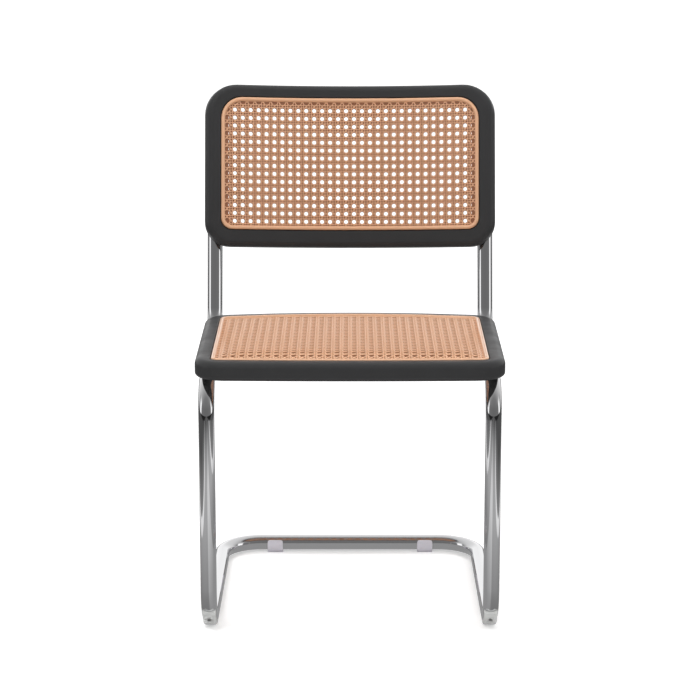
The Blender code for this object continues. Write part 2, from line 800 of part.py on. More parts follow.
def back_dowel_places():
    """Two dowels abreast in each of the back frame's four joints, standing on the bow."""
    height = BACK_THICKNESS / 2
    flat = dowel_places_across(back_half_arc(), DOWEL_SPREAD, height, back_joints())
    return [aimed(bowed_place(*place), heading) for place, heading in flat]


def back_panel_screws():
    """Places on the flat back of the screws that come through its upper and lower ledges."""
    inset = RIM_WIDTH + REBATE_GAP
    low = -BACK_HEIGHT / 2 + BACK_BORDER_BOTTOM + inset
    high = BACK_HEIGHT / 2 - BACK_BORDER_TOP - inset
    return [(x, y) for x in panel_screw_columns() for y in (low, high)]


def across_bow(x, y):
    """A place on the back's rear face, aimed forward through the bow."""
    angle = bow_angle(x)
    return aimed(bowed_place(x, y, 0.0), (-math.sin(angle), 0.0, math.cos(angle)))


def build_back(root):
    """The back frame's rails and stiles, its dowels, its panel and the panel's screws."""
    matrix = back_matrix()
    plane = frame_empty("back_plane", root, matrix.to_translation(), matrix.to_euler().x)
    floor = BACK_THICKNESS - REBATE_DEPTH
    borders = (BACK_BORDER, BACK_BORDER_TOP, BACK_BORDER_BOTTOM)
    ledges = (BACK_RAIL_WIDTH,) * 3
    ring = holed_frame(
        back_outline((0.0, 0.0, 0.0), BACK_TOP_CORNER, BACK_BOTTOM_CORNER),
        back_outline(borders, BACK_PANEL_TOP_CORNER, BACK_PANEL_BOTTOM_CORNER),
        back_outline(ledges, OPENING_CORNER, OPENING_CORNER),
        BACK_THICKNESS,
        BACK_FRONT_ROUND,
        BACK_REAR_ROUND,
    )
    ring = bowed(ring)
    dowels = back_dowel_places()
    screws = [across_bow(x, y) for x, y in back_panel_screws()]
    bores = frame_bores(
        BACK_DOWEL_DIAMETER, BACK_DOWEL_LENGTH, dowels, back_screw_places(), screws, floor
    )
    for name, mesh in split_frame(ring, "back", back_joints(), ("bottom_rail", "top_rail")):
        piece(name, drilled(mesh, bores), LACQUER, plane)
    dowel = cylinder(BACK_DOWEL_DIAMETER / 2, -BACK_DOWEL_LENGTH / 2, BACK_DOWEL_LENGTH / 2)
    copies("back_dowel", dowel, BEECH, plane, dowels)
    panel = panel_mesh(
        back_outline(borders, BACK_PANEL_TOP_CORNER, BACK_PANEL_BOTTOM_CORNER, REBATE_GAP),
        back_outline(
            [border + 2 * RIM_WIDTH for border in borders],
            BACK_PANEL_TOP_CORNER / 2,
            BACK_PANEL_BOTTOM_CORNER / 2,
        ),
        lattice_holes(
            back_half_arc() - BACK_RAIL_WIDTH,
            -BACK_HEIGHT / 2 + BACK_RAIL_WIDTH,
            BACK_HEIGHT / 2 - BACK_RAIL_WIDTH,
        ),
        floor,
    )
    flat_screws = [aimed((x, y, 0.0), (0, 0, 1)) for x, y in back_panel_screws()]
    panel = drilled(panel, [panel_bore(floor, flat_screws)])
    piece("back_panel", bowed(panel), CANE, plane)
    screw = pan_screw(
        PANEL_SCREW_DIAMETER,
        floor + PANEL_SCREW_BITE + CLEARANCE,
        PANEL_SCREW_HEAD,
        PANEL_SCREW_HEAD_HEIGHT,
    )
    seated = [place @ Matrix.Translation((0, 0, -CLEARANCE)) for place in screws]
    copies("back_panel_screw", screw, STEEL, plane, seated)


# Tube, its plugs, screws and feet


def saddle_profile():
    """The saddle's section: a cradle under the tube with a flat sole, the tube's axis at 0, 0."""
    inner = TUBE_RADIUS + CLEARANCE
    half = SADDLE_WIDTH / 2
    lip = math.asin(half / inner)
    found = []
    for k in range(CORNER_STEPS + 1):
        angle = lip - 2 * lip * k / CORNER_STEPS
        found.append((inner * math.sin(angle), -inner * math.cos(angle)))
    heel = math.asin(half / SADDLE_RADIUS)
    sole = math.acos(min(1.0, TUBE_AXIS_HEIGHT / SADDLE_RADIUS))
    found.append((-half, -SADDLE_RADIUS * math.cos(heel)))
    found.append((-SADDLE_RADIUS * math.sin(sole), -TUBE_AXIS_HEIGHT))
    found.append((SADDLE_RADIUS * math.sin(sole), -TUBE_AXIS_HEIGHT))
    found.append((half, -SADDLE_RADIUS * math.cos(heel)))
    return found


def saddle_mesh():
    """The saddle: its section run forward under the rail, then spun up round the floor bend.

    It turns in the bend's own steps, so that its facets lie along the tube's.
    """
    step = math.pi / 2 / arc_steps(math.pi / 2)
    steps = max(1, round(SADDLE_WRAP / step))
    bm = bmesh.new()
    start = FLOOR_BEND_RADIUS + SADDLE_TAIL
    face = bm.faces.new([bm.verts.new((x, start, z)) for x, z in saddle_profile()])
    run = bmesh.ops.extrude_face_region(bm, geom=[face])
    verts = [item for item in run["geom"] if isinstance(item, bmesh.types.BMVert)]
    bmesh.ops.translate(bm, verts=verts, vec=(0.0, -SADDLE_TAIL, 0.0))
    front = [item for item in run["geom"] if isinstance(item, bmesh.types.BMFace)]
    bmesh.ops.spin(
        bm,
        geom=front,
        cent=(0.0, FLOOR_BEND_RADIUS, FLOOR_BEND_RADIUS),
        axis=(1.0, 0.0, 0.0),
        angle=-step * steps,
        steps=steps,
        use_duplicate=False,
    )
    inner_faces = [f for f in bm.faces if all(len(e.link_faces) > 2 for e in f.edges)]
    bmesh.ops.delete(bm, geom=inner_faces, context="FACES_ONLY")
    return mesh_from(bm, "saddle")


def clip_mesh():
    """The rear clip: a ring with a flat sole and an open top, run along the bar."""
    outer, inner = CLIP_RADIUS, TUBE_RADIUS + CLEARANCE
    sole = math.acos(min(1.0, TUBE_AXIS_HEIGHT / outer))
    wrap = math.pi / 2 + CLIP_LIP_ANGLE
    steps = 2 * CORNER_STEPS
    section = []
    for side in (1, -1):
        bends = [sole + (wrap - sole) * k / CORNER_STEPS for k in range(CORNER_STEPS + 1)]
        if side == 1:
            bends = bends[::-1]
        for angle in bends:
            section.append((-side * outer * math.sin(angle), -outer * math.cos(angle), 0.0))
    for k in range(steps + 1):
        angle = wrap - 2 * wrap * k / steps
        section.append((inner * math.sin(angle), -inner * math.cos(angle), 0.0))
    mesh = plate([section], CLIP_LENGTH)
    along_bar = Matrix(((0, 0, 1, 0), (1, 0, 0, 0), (0, 1, 0, 0), (0, 0, 0, 1)))
    return turned(mesh, along_bar @ Matrix.Translation((0, 0, -CLIP_LENGTH / 2)))


def build_base(root):
    """The tube with its plugs and feet, and the screws that hold the seat, the back and the feet."""
    matrix = back_matrix()
    back_screws = [matrix @ place for place in back_screw_places()]
    piece("tube_frame", tube_mesh(back_screws), CHROME, root)
    path = tube_path()
    plug = plug_mesh()
    for name, end, before in (
        ("right_tube_plug", path[0], path[1]),
        ("left_tube_plug", path[-1], path[-2]),
    ):
        piece(name, turned(plug, aimed(end, end - before)), PLUG, root)
    grip = TUBE_DIAMETER + 2 * CLEARANCE + FRAME_SCREW_BITE
    screw = pan_screw(FRAME_SCREW_DIAMETER, grip, FRAME_SCREW_HEAD, FRAME_SCREW_HEAD_HEIGHT)
    drop = Matrix.Translation((0.0, 0.0, -TUBE_RADIUS - CLEARANCE))
    copies("seat_screw", screw, STEEL, root, [place @ drop for place in seat_screw_places()])
    copies("back_screw", screw, STEEL, root, [place @ drop for place in back_screws])
    places = saddle_screw_places()
    foot_screw = pan_screw(
        FOOT_SCREW_DIAMETER,
        SADDLE_RADIUS - TUBE_RADIUS + FOOT_SCREW_BITE,
        FOOT_SCREW_HEAD,
        FOOT_SCREW_HEAD_HEIGHT,
    )
    drop = Matrix.Translation((0.0, 0.0, -TUBE_AXIS_HEIGHT - CLEARANCE))
    copies("foot_screw", foot_screw, STEEL, root, [place @ drop for place in places])
    for name, side, place in (("right", 1, places[0]), ("left", -1, places[1])):
        bore = (FOOT_SCREW_DIAMETER + 2 * CLEARANCE, -2 * SADDLE_RADIUS, 0.0, [place])
        foot = drilled(turned(saddle_mesh(), floor_bend_matrix(side)), [bore])
        piece(f"front_{name}_foot", foot, CLEAR, root)
        seat = Matrix.Translation((side * CLIP_SPACING / 2, REAR_BAR_DISTANCE, TUBE_AXIS_HEIGHT))
        piece(f"rear_{name}_glide", turned(clip_mesh(), seat), WHITE, root)


def main():
    rearmost = (back_matrix() @ Vector((0.0, BACK_HEIGHT / 2, 0.0))).y
    root = frame_empty("chair", None, (0.0, (SEAT_OVERHANG - rearmost) / 2, 0.0))
    build_base(root)
    build_seat(root)
    build_back(root)


main()
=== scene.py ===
"""Dresses the packed cantilever chair: tube, frames, cane-look panels, feet and fasteners."""

import math

import bmesh
import bpy
from bpy.props import FloatProperty, FloatVectorProperty, PointerProperty
from bpy.types import Operator, Panel, PropertyGroup
from mathutils import Matrix, Vector


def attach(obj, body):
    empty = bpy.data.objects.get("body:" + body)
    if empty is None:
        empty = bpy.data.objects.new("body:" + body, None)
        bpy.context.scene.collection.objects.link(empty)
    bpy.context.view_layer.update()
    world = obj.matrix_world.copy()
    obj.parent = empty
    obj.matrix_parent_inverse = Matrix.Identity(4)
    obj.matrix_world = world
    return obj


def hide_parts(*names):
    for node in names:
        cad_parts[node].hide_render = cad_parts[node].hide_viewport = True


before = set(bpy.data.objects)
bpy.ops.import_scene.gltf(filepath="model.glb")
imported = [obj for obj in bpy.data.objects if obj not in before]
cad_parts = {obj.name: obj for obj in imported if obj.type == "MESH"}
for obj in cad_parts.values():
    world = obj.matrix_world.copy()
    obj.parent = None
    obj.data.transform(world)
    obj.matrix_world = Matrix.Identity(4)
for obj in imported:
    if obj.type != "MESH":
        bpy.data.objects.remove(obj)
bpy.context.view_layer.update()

bl_info = {
    "name": "Cantilever side chair",
    "version": (1, 0, 0),
    "blender": (4, 5, 0),
    "location": "View3D > Sidebar > Chair",
    "description": "Models and finishes a cantilever chair with cane-look panels on its frame",
    "category": "Object",
}

CLEARANCE = 0.0003
NAMES = tuple(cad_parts)
SIDES = (("right", 1), ("left", -1))

# A plane's size before it is merged to a point, how far off its plane a loop waits, slack in heights
SPECK = 0.001
OFF_LEVEL = 0.01
LEVEL_SLACK = 0.0001

# The share of the seat's ends that is drawn bowed, and how far columns keep from the back's corners
BOWED_SHARE = 0.62
CORNER_ROOM = 0.07

# The frames' openings, each an inset and two corner radii, and the rounding of the rebates' edges
SEAT_OPENING = (0.035, 0.012, 0.012)
BACK_OPENING = ((0.0325, 0.0325, 0.038), 0.018, 0.012)
INNER_ROUND = 0.0007

# Where a rim's bead starts under the frame's face, and the drop and width of its inner foot
SHOULDER = 0.0008
FOOT_DROP = 0.0004
FOOT_WIDTH = 0.0003

# How far the blind holes' floor lies under the web's top, and how much narrower it is drawn
FLOOR_DROP = 0.0012
FLOOR_SHRINK = 0.990

# The inset of a web's edge under the rim, and how much sharper its corners are than the rim's
WEB_INSET = 0.0035
WEB_CORNER = 0.004

# A slanted strand's crest, a straight one's and every dip, as shares of the relief
STRAND_HEIGHTS = (1.0, 0.94, 0.25)

# A strand's round as a share of the relief, its flat top as a share of its width, its root's depth
STRAND_ROUND = 0.3375
STRAND_FLAT = 0.55
STRAND_SUNK = 0.0003

# The width over which the seat's panel rolls down to its sides
SIDE_ROLL = 0.04

# Painted shade in the cane plastic's colour: tones from 0, the darkest painted shade in hollows, deep in
# the holes and on blind floors, to 1 on a strand's crest, which keeps the plastic's tan
FLOOR_TONE = 0.29
HOLE_EDGE_TONE = 0.48
BEAD_TONE = 0.52
WEB_TONE = 0.1
# Painted shade under the seat's panel; the back's underside keeps the plain tan
SEAT_UNDERSIDE_TONE = 0.35
BACK_UNDERSIDE_TONE = 1.0

# The turn between two sections of a bend, and the form of saddles, clips and plugs
BEND_STEP = math.radians(6)
SADDLE_EASE = 0.0006
CLIP_EASE = 0.0005
CLIP_WRAP = math.radians(120)
CLIP_CORNER = 0.0055
PLUG_STEM = 0.014

# Screws: a rail's end past its corner, how far in each kind sits, and how far it bites
RAIL_END = 0.005
SEAT_SCREW_INSET = 0.044
BACK_SCREW_INSET = 0.035
PANEL_SCREW_INSET = 0.0072
PANEL_SCREW_COLUMNS = (-0.110, 0.0, 0.110)
FOOT_SCREW_TILT = math.radians(46)
RAIL_SCREW_BITE = 0.0166
PANEL_SCREW_BITE = 0.0043

# The far end of the studio's grey ramps
RAMP_SPAN = 2.0


def length(name, description, default):
    """A length that the sidebar shows in metres."""
    return FloatProperty(name=name, description=description, default=default, unit="LENGTH", precision=4)


def angle(name, description, degrees):
    return FloatProperty(
        name=name, description=description, default=math.radians(degrees), unit="ROTATION"
    )


def colour(name, description, default):
    return FloatVectorProperty(
        name=name, description=description, default=default, size=3, subtype="COLOR", min=0, max=1
    )


class TubeSizes(PropertyGroup):
    """The bent tube, measured from the legs' axis."""

    diameter: length("Diameter", "Outer diameter of the tube", 0.025)
    wall: length("Wall", "Thickness of the tube's wall", 0.002)
    axis_height: length("Axis height", "Height of the base rails' axis over the floor", 0.0155)
    leg_spacing: length("Leg spacing", "Between the legs' axes", 0.4375)
    upright_spacing: length("Upright spacing", "Between the uprights' axes", 0.449)
    base_spacing: length("Base spacing", "Between the base rails' axes at the rear", 0.428)
    bend_distance: length("Rear bend", "From the legs back to the uprights' bend", 0.394)
    bar_distance: length("Rear bar", "From the legs back to the rear bar", 0.4155)
    rear_bend: length("Upright bend radius", "Bend from seat tube to upright", 0.058)
    front_bend: length("Front bend radius", "Bend from seat tube to leg", 0.048)
    floor_bend: length("Floor bend radius", "Bend from leg to base rail", 0.060)
    corner: length("Rear corner radius", "Bend from base rail to rear bar", 0.065)
    top_drop: length("Tube top", "How far the uprights end below the back's top edge", 0.042)


class SeatSizes(PropertyGroup):
    """The framed seat."""

    height: length("Height", "Height of the seat's top at the legs", 0.4395)
    slope: angle("Slope", "How far the seat falls to the rear", 2.0)
    thickness: length("Thickness", "Thickness of the seat frame", 0.029)
    width: length("Width", "Width of the seat frame", 0.475)
    overhang: length("Overhang", "How far the seat stands out before the legs", 0.020)
    side: length("Side length", "Length of the seat's straight sides", 0.382)
    rear_bow: length("Rear bow", "How far the rear edge bows out", 0.023)
    front_bow: length("Front bow", "How far the front edge bows out", 0.005)
    front_corner: length("Front corner", "Radius of the front corners", 0.048)
    rear_corner: length("Rear corner", "Radius of the rear corners", 0.046)
    top_round: length("Top round", "Radius of the upper edge", 0.011)
    bottom_round: length("Bottom round", "Radius of the lower edge", 0.006)
    border: length("Border", "Visible width of the black frame round the panel", 0.022)
    flank: length("Flank", "How much wider the border is at the sides", 0.0022)
    panel_front: length("Panel front corner", "Corner radius of the panel at the front", 0.014)
    panel_rear: length("Panel rear corner", "Corner radius of the panel at the rear", 0.018)


class BackSizes(PropertyGroup):
    """The framed, bowed back."""

    centre: length("Centre height", "Height of the back's middle", 0.6535)
    recline: angle("Recline", "How far the back leans to the rear", 16.0)
    height: length("Height", "Height of the back frame along its lean", 0.270)
    side_overhang: length("Side overhang", "How far the back stands out past the uprights", 0.0210)
    bow: length("Bow radius", "Radius of the back's bow", 0.860)
    thickness: length("Thickness", "Thickness of the back frame", 0.026)
    top_corner: length("Top corner", "Radius of the top corners", 0.051)
    bottom_corner: length("Bottom corner", "Radius of the bottom corners", 0.041)
    front_round: length("Front round", "Radius of the front edge", 0.010)
    rear_round: length("Rear round", "Radius of the rear edge", 0.007)
    border: length("Side border", "Visible width of the stiles", 0.0221)
    border_top: length("Top border", "Visible width of the top rail", 0.0205)
    border_bottom: length("Bottom border", "Visible width of the bottom rail", 0.0275)
    panel_top: length("Panel top corner", "Corner radius of the panel at the top", 0.036)
    panel_bottom: length("Panel bottom corner", "Corner radius of the panel below", 0.019)


class PanelSizes(PropertyGroup):
    """The moulded cane pattern of both panels."""

    pitch: length("Pitch", "Distance from hole to hole", 0.0132)
    strand: length("Strand width", "Width of one strand", 0.0016)
    spread: length("Strand spread", "From a pair's middle to each of its strands", 0.00196)
    hole: length("Hole width", "Width across flats of a hole in the web", 0.0065)
    web: length("Web thickness", "Thickness of the web under the strands", 0.0027)
    sunk: length("Web depth", "How far the web lies below the frame's face", 0.0028)
    relief: length("Strand height", "How far the strands rise from the web", 0.0016)
    rim: length("Rim width", "Width of the bead round the panel", 0.0062)
    proud: length("Rim height", "How far the bead stands over the frame", 0.0015)
    rebate: length("Rebate depth", "Depth of the rebate that holds the panel", 0.008)
    gap: length("Shadow gap", "Gap between the panel and the frame", 0.0012)
    band: length("Blind band", "Width round the edge in which the holes have a floor", 0.0105)
    crown: length("Seat crown", "How far the seat panel rises over its frame", 0.008)
    roll: length("Seat roll", "Depth over which the seat panel rolls down to its front", 0.045)


class FootSizes(PropertyGroup):
    """Feet and fasteners."""

    saddle_width: length("Saddle width", "Width of the clear saddles", 0.0205)
    saddle_radius: length("Saddle radius", "Outer radius of the saddles", 0.0175)
    saddle_tail: length("Saddle tail", "How far a saddle runs under the base rail", 0.030)
    saddle_wrap: angle("Saddle wrap", "How far a saddle climbs the floor bend", 60)
    clip_length: length("Clip length", "Length of the white clips", 0.0257)
    clip_radius: length("Clip radius", "Outer radius of the white clips", 0.0165)
    clip_spacing: length("Clip spacing", "Between the clips' middles", 0.254)


class Finishes(PropertyGroup):
    """Colours of the chair's finishes."""

    chrome: colour("Chrome", "Polished chrome plate", (0.72, 0.72, 0.73))
    lacquer: colour("Lacquer", "Satin black lacquer", (0.034, 0.034, 0.035))
    cane: colour("Cane plastic", "Moulded strands and rim", (0.77, 0.43, 0.243))
    # Painted shade: the colour that hollows, hole walls, blind floors and the seat's underside are
    # darkened towards
    pit: colour("Cane shade", "Between the strands", (0.19, 0.040, 0.005))
    nylon: colour("White nylon", "Clips on the rear bar", (0.93, 0.90, 0.96))
    clear: colour("Clear plastic", "Saddles on the floor bends", (0.97, 0.98, 0.97))
    steel: colour("Zinc plate", "Screws", (0.55, 0.55, 0.54))
    beech: colour("Beech", "Dowels", (0.62, 0.44, 0.27))
    plug: colour("Black plastic", "Plugs in the tube's ends", (0.03, 0.03, 0.03))


def sizes(group):
    """One of the chair's property groups, such as seat or tube."""
    return getattr(bpy.context.scene, f"chair_{group}")


# Modelling by hand: what the operators below share


def lay_aside():
    """Leaves nothing selected, so that an operator acts on the new piece alone."""
    bpy.ops.object.select_all(action="DESELECT")


def take_up(obj):
    """Selects one object and nothing else."""
    lay_aside()
    obj.select_set(True)
    bpy.context.view_layer.objects.active = obj


def open_mesh(obj):
    """Takes one object into edit mode."""
    take_up(obj)
    bpy.ops.object.mode_set(mode="EDIT")
    bpy.ops.mesh.select_mode(type="VERT")


def close_mesh():
    """Leaves edit mode."""
    bpy.ops.object.mode_set(mode="OBJECT")


def take_all():
    """Selects the whole of the open mesh."""
    bpy.ops.mesh.select_all(action="SELECT")


def face_outwards():
    """Turns every face of the open mesh outwards."""
    take_all()
    bpy.ops.mesh.normals_make_consistent(inside=False)


def pick(test, kind):
    """Selects the open mesh's vertices, edges or faces that pass a test."""
    bpy.ops.mesh.select_mode(type=kind)
    bpy.ops.mesh.select_all(action="DESELECT")
    mesh = bpy.context.edit_object.data
    bm = bmesh.from_edit_mesh(mesh)
    bm.normal_update()
    for item in {"VERT": bm.verts, "EDGE": bm.edges, "FACE": bm.faces}[kind]:
        if test(item):
            item.select_set(True)
    bm.select_flush_mode()
    bmesh.update_edit_mesh(mesh)


def drop_faces(test):
    """Deletes the faces that pass a test and keeps their edges."""
    pick(test, "FACE")
    bpy.ops.mesh.delete(type="ONLY_FACE")


def up(height):
    """A vector straight up, or down where the height is negative."""
    return Vector((0, 0, height))


def push(vector):
    """Extrudes what is selected by a vector."""
    bpy.ops.mesh.extrude_region_move(TRANSFORM_OT_translate={"value": vector})


def at_height(z, loose=False):
    """A test for edges that lie at a height, and if asked border no more than one face."""
    return lambda e: all(abs(v.co.z - z) < 1e-5 for v in e.verts) and (
        not loose or len(e.link_faces) < 2
    )


def trace(points):
    """Draws a closed outline point by point in the open mesh and fills it with a face."""
    bpy.ops.mesh.select_mode(type="VERT")
    bpy.ops.mesh.select_all(action="DESELECT")
    bpy.ops.mesh.primitive_plane_add(size=SPECK, location=points[0])
    bpy.ops.mesh.merge(type="CENTER")
    for start, end in zip(points, points[1:]):
        push(end - start)
    pick(lambda v: not v.link_faces, "VERT")
    bpy.ops.mesh.edge_face_add()


def traced(name, points):
    """A new object that holds one flat face, left open in edit mode."""
    lay_aside()
    bpy.ops.mesh.primitive_plane_add(size=SPECK)
    obj = bpy.context.object
    obj.name = name
    open_mesh(obj)
    take_all()
    bpy.ops.mesh.delete(type="VERT")
    trace(points)
    return obj


def circle(name, sides, radius, place, turn=(0, 0, 0), filling="NOTHING"):
    """A new circle, left open in edit mode with all of it selected."""
    lay_aside()
    bpy.ops.mesh.primitive_circle_add(
        vertices=sides, radius=radius, location=place, rotation=turn, fill_type=filling
    )
    obj = bpy.context.object
    obj.name = name
    bpy.ops.object.transform_apply()
    open_mesh(obj)
    take_all()
    return obj


def modify(obj, kind, **settings):
    """Adds a modifier with the given settings and applies it."""
    take_up(obj)
    modifier = obj.modifiers.new(kind.lower(), kind)
    for key, value in settings.items():
        setattr(modifier, key, value)
    bpy.ops.object.modifier_apply(modifier=modifier.name)


def throw_away(obj):
    """Deletes an object that has done its work."""
    take_up(obj)
    bpy.ops.object.delete()


def cut_with(obj, cutter, operation="DIFFERENCE"):
    """Applies a Boolean with a cutter and throws the cutter away."""
    modify(obj, "BOOLEAN", operation=operation, object=cutter)
    throw_away(cutter)


def eased(obj, width, degrees):
    """Rounds the edges that are sharper than an angle."""
    limit = math.radians(degrees)
    modify(obj, "BEVEL", width=width, segments=3, limit_method="ANGLE", angle_limit=limit)


def joined(objects, name):
    """Joins several objects into the first."""
    take_up(objects[0])
    for obj in objects:
        obj.select_set(True)
    bpy.ops.object.join()
    objects[0].name = name
    return objects[0]


def put(obj, matrix):
    """Moves an object's mesh by a matrix, with the object left at the origin."""
    take_up(obj)
    obj.matrix_world = matrix @ obj.matrix_world
    bpy.context.view_layer.update()
    bpy.ops.object.transform_apply()


def copied(obj, name, matrix):
    """A copy with its own mesh, moved by a matrix."""
    take_up(obj)
    bpy.ops.object.duplicate(linked=False)
    copy = bpy.context.object
    copy.name = name
    put(copy, matrix)
    return copy


def outward(obj):
    """Merges doubled points and turns every face outwards."""
    open_mesh(obj)
    take_all()
    bpy.ops.mesh.remove_doubles(threshold=1e-6)
    bpy.ops.mesh.normals_make_consistent(inside=False)
    close_mesh()


def smoothed(obj, degrees=35.0, weighted=True):
    """Shades an object smooth, with edges sharper than an angle kept."""
    take_up(obj)
    bpy.ops.object.shade_smooth_by_angle(angle=math.radians(degrees))
    if weighted:
        modify(obj, "WEIGHTED_NORMAL", keep_sharp=True)


def dressed(obj, maker, slot, *nodes):
    """Gives a finished piece its material and its place on the frame, and hides what it replaces."""
    take_up(obj)
    bpy.ops.object.transform_apply()
    obj.data.materials.clear()
    obj.data.materials.append(finished(maker))
    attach(obj, "root")
    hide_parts(*nodes)


def rounded(corners, radii, steps):
    """The points of a closed outline through the corners, with an arc at each that has a radius."""
    corners = [Vector(corner) for corner in corners]
    points = []
    for i, (corner, radius) in enumerate(zip(corners, radii)):
        if radius == 0:
            points.append(corner)
            continue
        before = (corners[i - 1] - corner).normalized()
        after = (corners[(i + 1) % len(corners)] - corner).normalized()
        half = before.angle(after) / 2
        turn = math.pi - 2 * half
        middle = corner + (before + after).normalized() * (radius / math.sin(half))
        start = corner + before * (radius / math.tan(half)) - middle
        across = (-before - start.normalized() * (-before).dot(start.normalized())).normalized()
        for k in range(steps + 1):
            a = turn * k / steps
            points.append(middle + start * math.cos(a) + across * (radius * math.sin(a)))
    return points


def spaced(start, end, count):
    """Points between two places, without the ends."""
    return [start + (end - start) * k / (count + 1) for k in range(1, count + 1)]


# Where things are: the chair is laid out from the legs' axis, then moved over its box's middle


def seat_tube_height(distance):
    """Height of the seat tubes' axis at a distance behind the legs."""
    seat = sizes("seat")
    below = seat.thickness + CLEARANCE + sizes("tube").diameter / 2
    return seat.height - below / math.cos(seat.slope) - distance * math.tan(seat.slope)


def upright_reach():
    """Distance from the bow's middle to an upright's axis."""
    back = sizes("back")
    return back.bow + back.thickness + sizes("tube").diameter / 2 + CLEARANCE


def back_contact():
    """Angle round the bow at which an upright touches the back frame."""
    return math.asin(sizes("tube").upright_spacing / 2 / upright_reach())


def upright_depth():
    """Height of the uprights' axes over the lowest line of the back, lying with its front up."""
    back = sizes("back")
    return back.bow + back.thickness - upright_reach() * math.cos(back_contact())


def back_half_arc():
    """Half the back's width along its bow."""
    return sizes("back").bow * back_contact() + sizes("back").side_overhang


def back_matrix(root=True):
    """Places the flat back, lying with its front up, against the uprights."""
    back, tube = sizes("back"), sizes("tube")
    rise = back.centre - seat_tube_height(tube.bend_distance)
    axis = (0.0, tube.bend_distance + rise * math.tan(back.recline), back.centre)
    turn = Matrix.Rotation(math.pi / 2 - back.recline, 4, "X")
    place = Matrix.Translation(axis) @ turn @ Matrix.Translation(up(-upright_depth()))
    return root_matrix() @ place if root else place


def root_matrix():
    """Moves the chair from the legs' axis over the middle of its box."""
    rearmost = (back_matrix(root=False) @ Vector((0.0, sizes("back").height / 2, 0.0))).y
    return Matrix.Translation((0.0, (sizes("seat").overhang - rearmost) / 2, 0.0))


def seat_matrix():
    """Places the flat seat, lying with its rear face at z = 0."""
    seat = sizes("seat")
    lift = seat.height - seat.thickness / math.cos(seat.slope)
    return root_matrix() @ Matrix.Translation(up(lift)) @ Matrix.Rotation(-seat.slope, 4, "X")


def bowed_place(x, y, z):
    """Where the bow carries a place of the flat back."""
    back = sizes("back")
    radius = back.bow + back.thickness - z
    turn = x / back.bow
    depth = back.bow + back.thickness - radius * math.cos(turn)
    return Vector((radius * math.sin(turn), y, depth))


def tube_corners(side):
    """The corners of one side's axis, from the upright's top down to the rear bar."""
    tube, back = sizes("tube"), sizes("back")
    upright, leg, rear = (
        side * spacing / 2
        for spacing in (tube.upright_spacing, tube.leg_spacing, tube.base_spacing)
    )
    height = seat_tube_height(tube.bend_distance)
    reach = (back.centre - height) / math.cos(back.recline) + back.height / 2 - tube.top_drop
    lean = Vector((0.0, math.sin(back.recline), math.cos(back.recline)))
    bend = Vector((upright, tube.bend_distance, height))
    return [
        bend + lean * reach,
        bend,
        Vector((leg, 0.0, seat_tube_height(0.0))),
        Vector((leg, 0.0, tube.axis_height)),
        Vector((rear, tube.bar_distance, tube.axis_height)),
    ]


def aimed(place, direction):
    """A matrix that puts z = 0 at a place with +z along a direction."""
    turn = Vector(direction).to_track_quat("Z", "Y").to_matrix().to_4x4()
    return Matrix.Translation(place) @ turn


def seat_edges(share, inset):
    """The bowed front and rear edges at a share of the half width: distances behind the legs."""
    seat = sizes("seat")
    front = -seat.overhang + inset + seat.front_bow * share * share
    rear = -seat.overhang + seat.side - inset + seat.rear_bow * (1 - share * share)
    return front, rear


def seat_outline(inset, front_corner, rear_corner, z, bow_steps=24, corner_steps=12):
    """The seat's outline drawn in by an inset, at a height in the flat seat."""
    seat = sizes("seat")
    half = seat.width / 2 - inset - (seat.flank if inset else 0.0)
    corners, radii = [], []
    for end, radius, way in ((0, front_corner, 1), (1, rear_corner, -1)):
        for k in range(bow_steps + 1):
            share = way * (2 * k / bow_steps - 1)
            if BOWED_SHARE < abs(share) < 1:
                continue
            corners.append((share * half, seat_edges(share, inset)[end], z))
            radii.append(radius if abs(share) == 1 else 0.0)
    return rounded(corners, radii, corner_steps)


def back_outline(inset, top_corner, bottom_corner, z, columns=30, corner_steps=10):
    """The flat back's outline drawn in by side, top and bottom insets."""
    side, top, bottom = inset
    half = back_half_arc() - side
    low, high = -sizes("back").height / 2 + bottom, sizes("back").height / 2 - top
    ends = [Vector((x, y, z)) for x, y in ((-half, low), (half, low), (half, high), (-half, high))]
    corners, radii = [], []
    for k, radius in enumerate((bottom_corner, bottom_corner, top_corner, top_corner)):
        corners.append(ends[k])
        radii.append(radius)
        if k in (0, 2):
            step = (ends[k + 1] - ends[k]).normalized() * CORNER_ROOM
            first, last = ends[k] + step, ends[k + 1] - step
            between = [first] + spaced(first, last, columns) + [last]
            corners += between
            radii += [0.0] * len(between)
    return rounded(corners, radii, corner_steps)


# Materials


def feed(tree, made, *inputs, **named):
    """Sets a node's inputs in order or by name, or links them where an output is given."""
    by_name = {key.replace("_", " "): value for key, value in named.items()}
    for key, value in [*enumerate(inputs), *by_name.items()]:
        if isinstance(value, bpy.types.NodeSocket):
            tree.links.new(value, made.inputs[key])
        else:
            made.inputs[key].default_value = value


def node(tree, kind, *inputs, setting=None, **named):
    """A new shader node with its inputs fed. setting is one attribute's name and value."""
    made = tree.nodes.new(f"ShaderNode{kind}")
    if setting:
        setattr(made, *setting)
    feed(tree, made, *inputs, **named)
    return made


def reckoned(tree, operation, *inputs):
    """The result of a calculation with numbers."""
    return node(tree, "Math", *inputs, setting=("operation", operation)).outputs["Value"]


def ranged(tree, value, start, end, low=0.0, high=1.0, way="LINEAR"):
    """A value carried from one range over to another."""
    named = {"Value": value, "From_Min": start, "From_Max": end, "To_Min": low, "To_Max": high}
    return node(tree, "MapRange", setting=("interpolation_type", way), **named).outputs["Result"]


def blended(tree, share, first, second):
    """A colour between two others."""
    mix = node(tree, "Mix", setting=("data_type", "RGBA"), Factor=share, A=first, B=second)
    return mix.outputs["Result"]


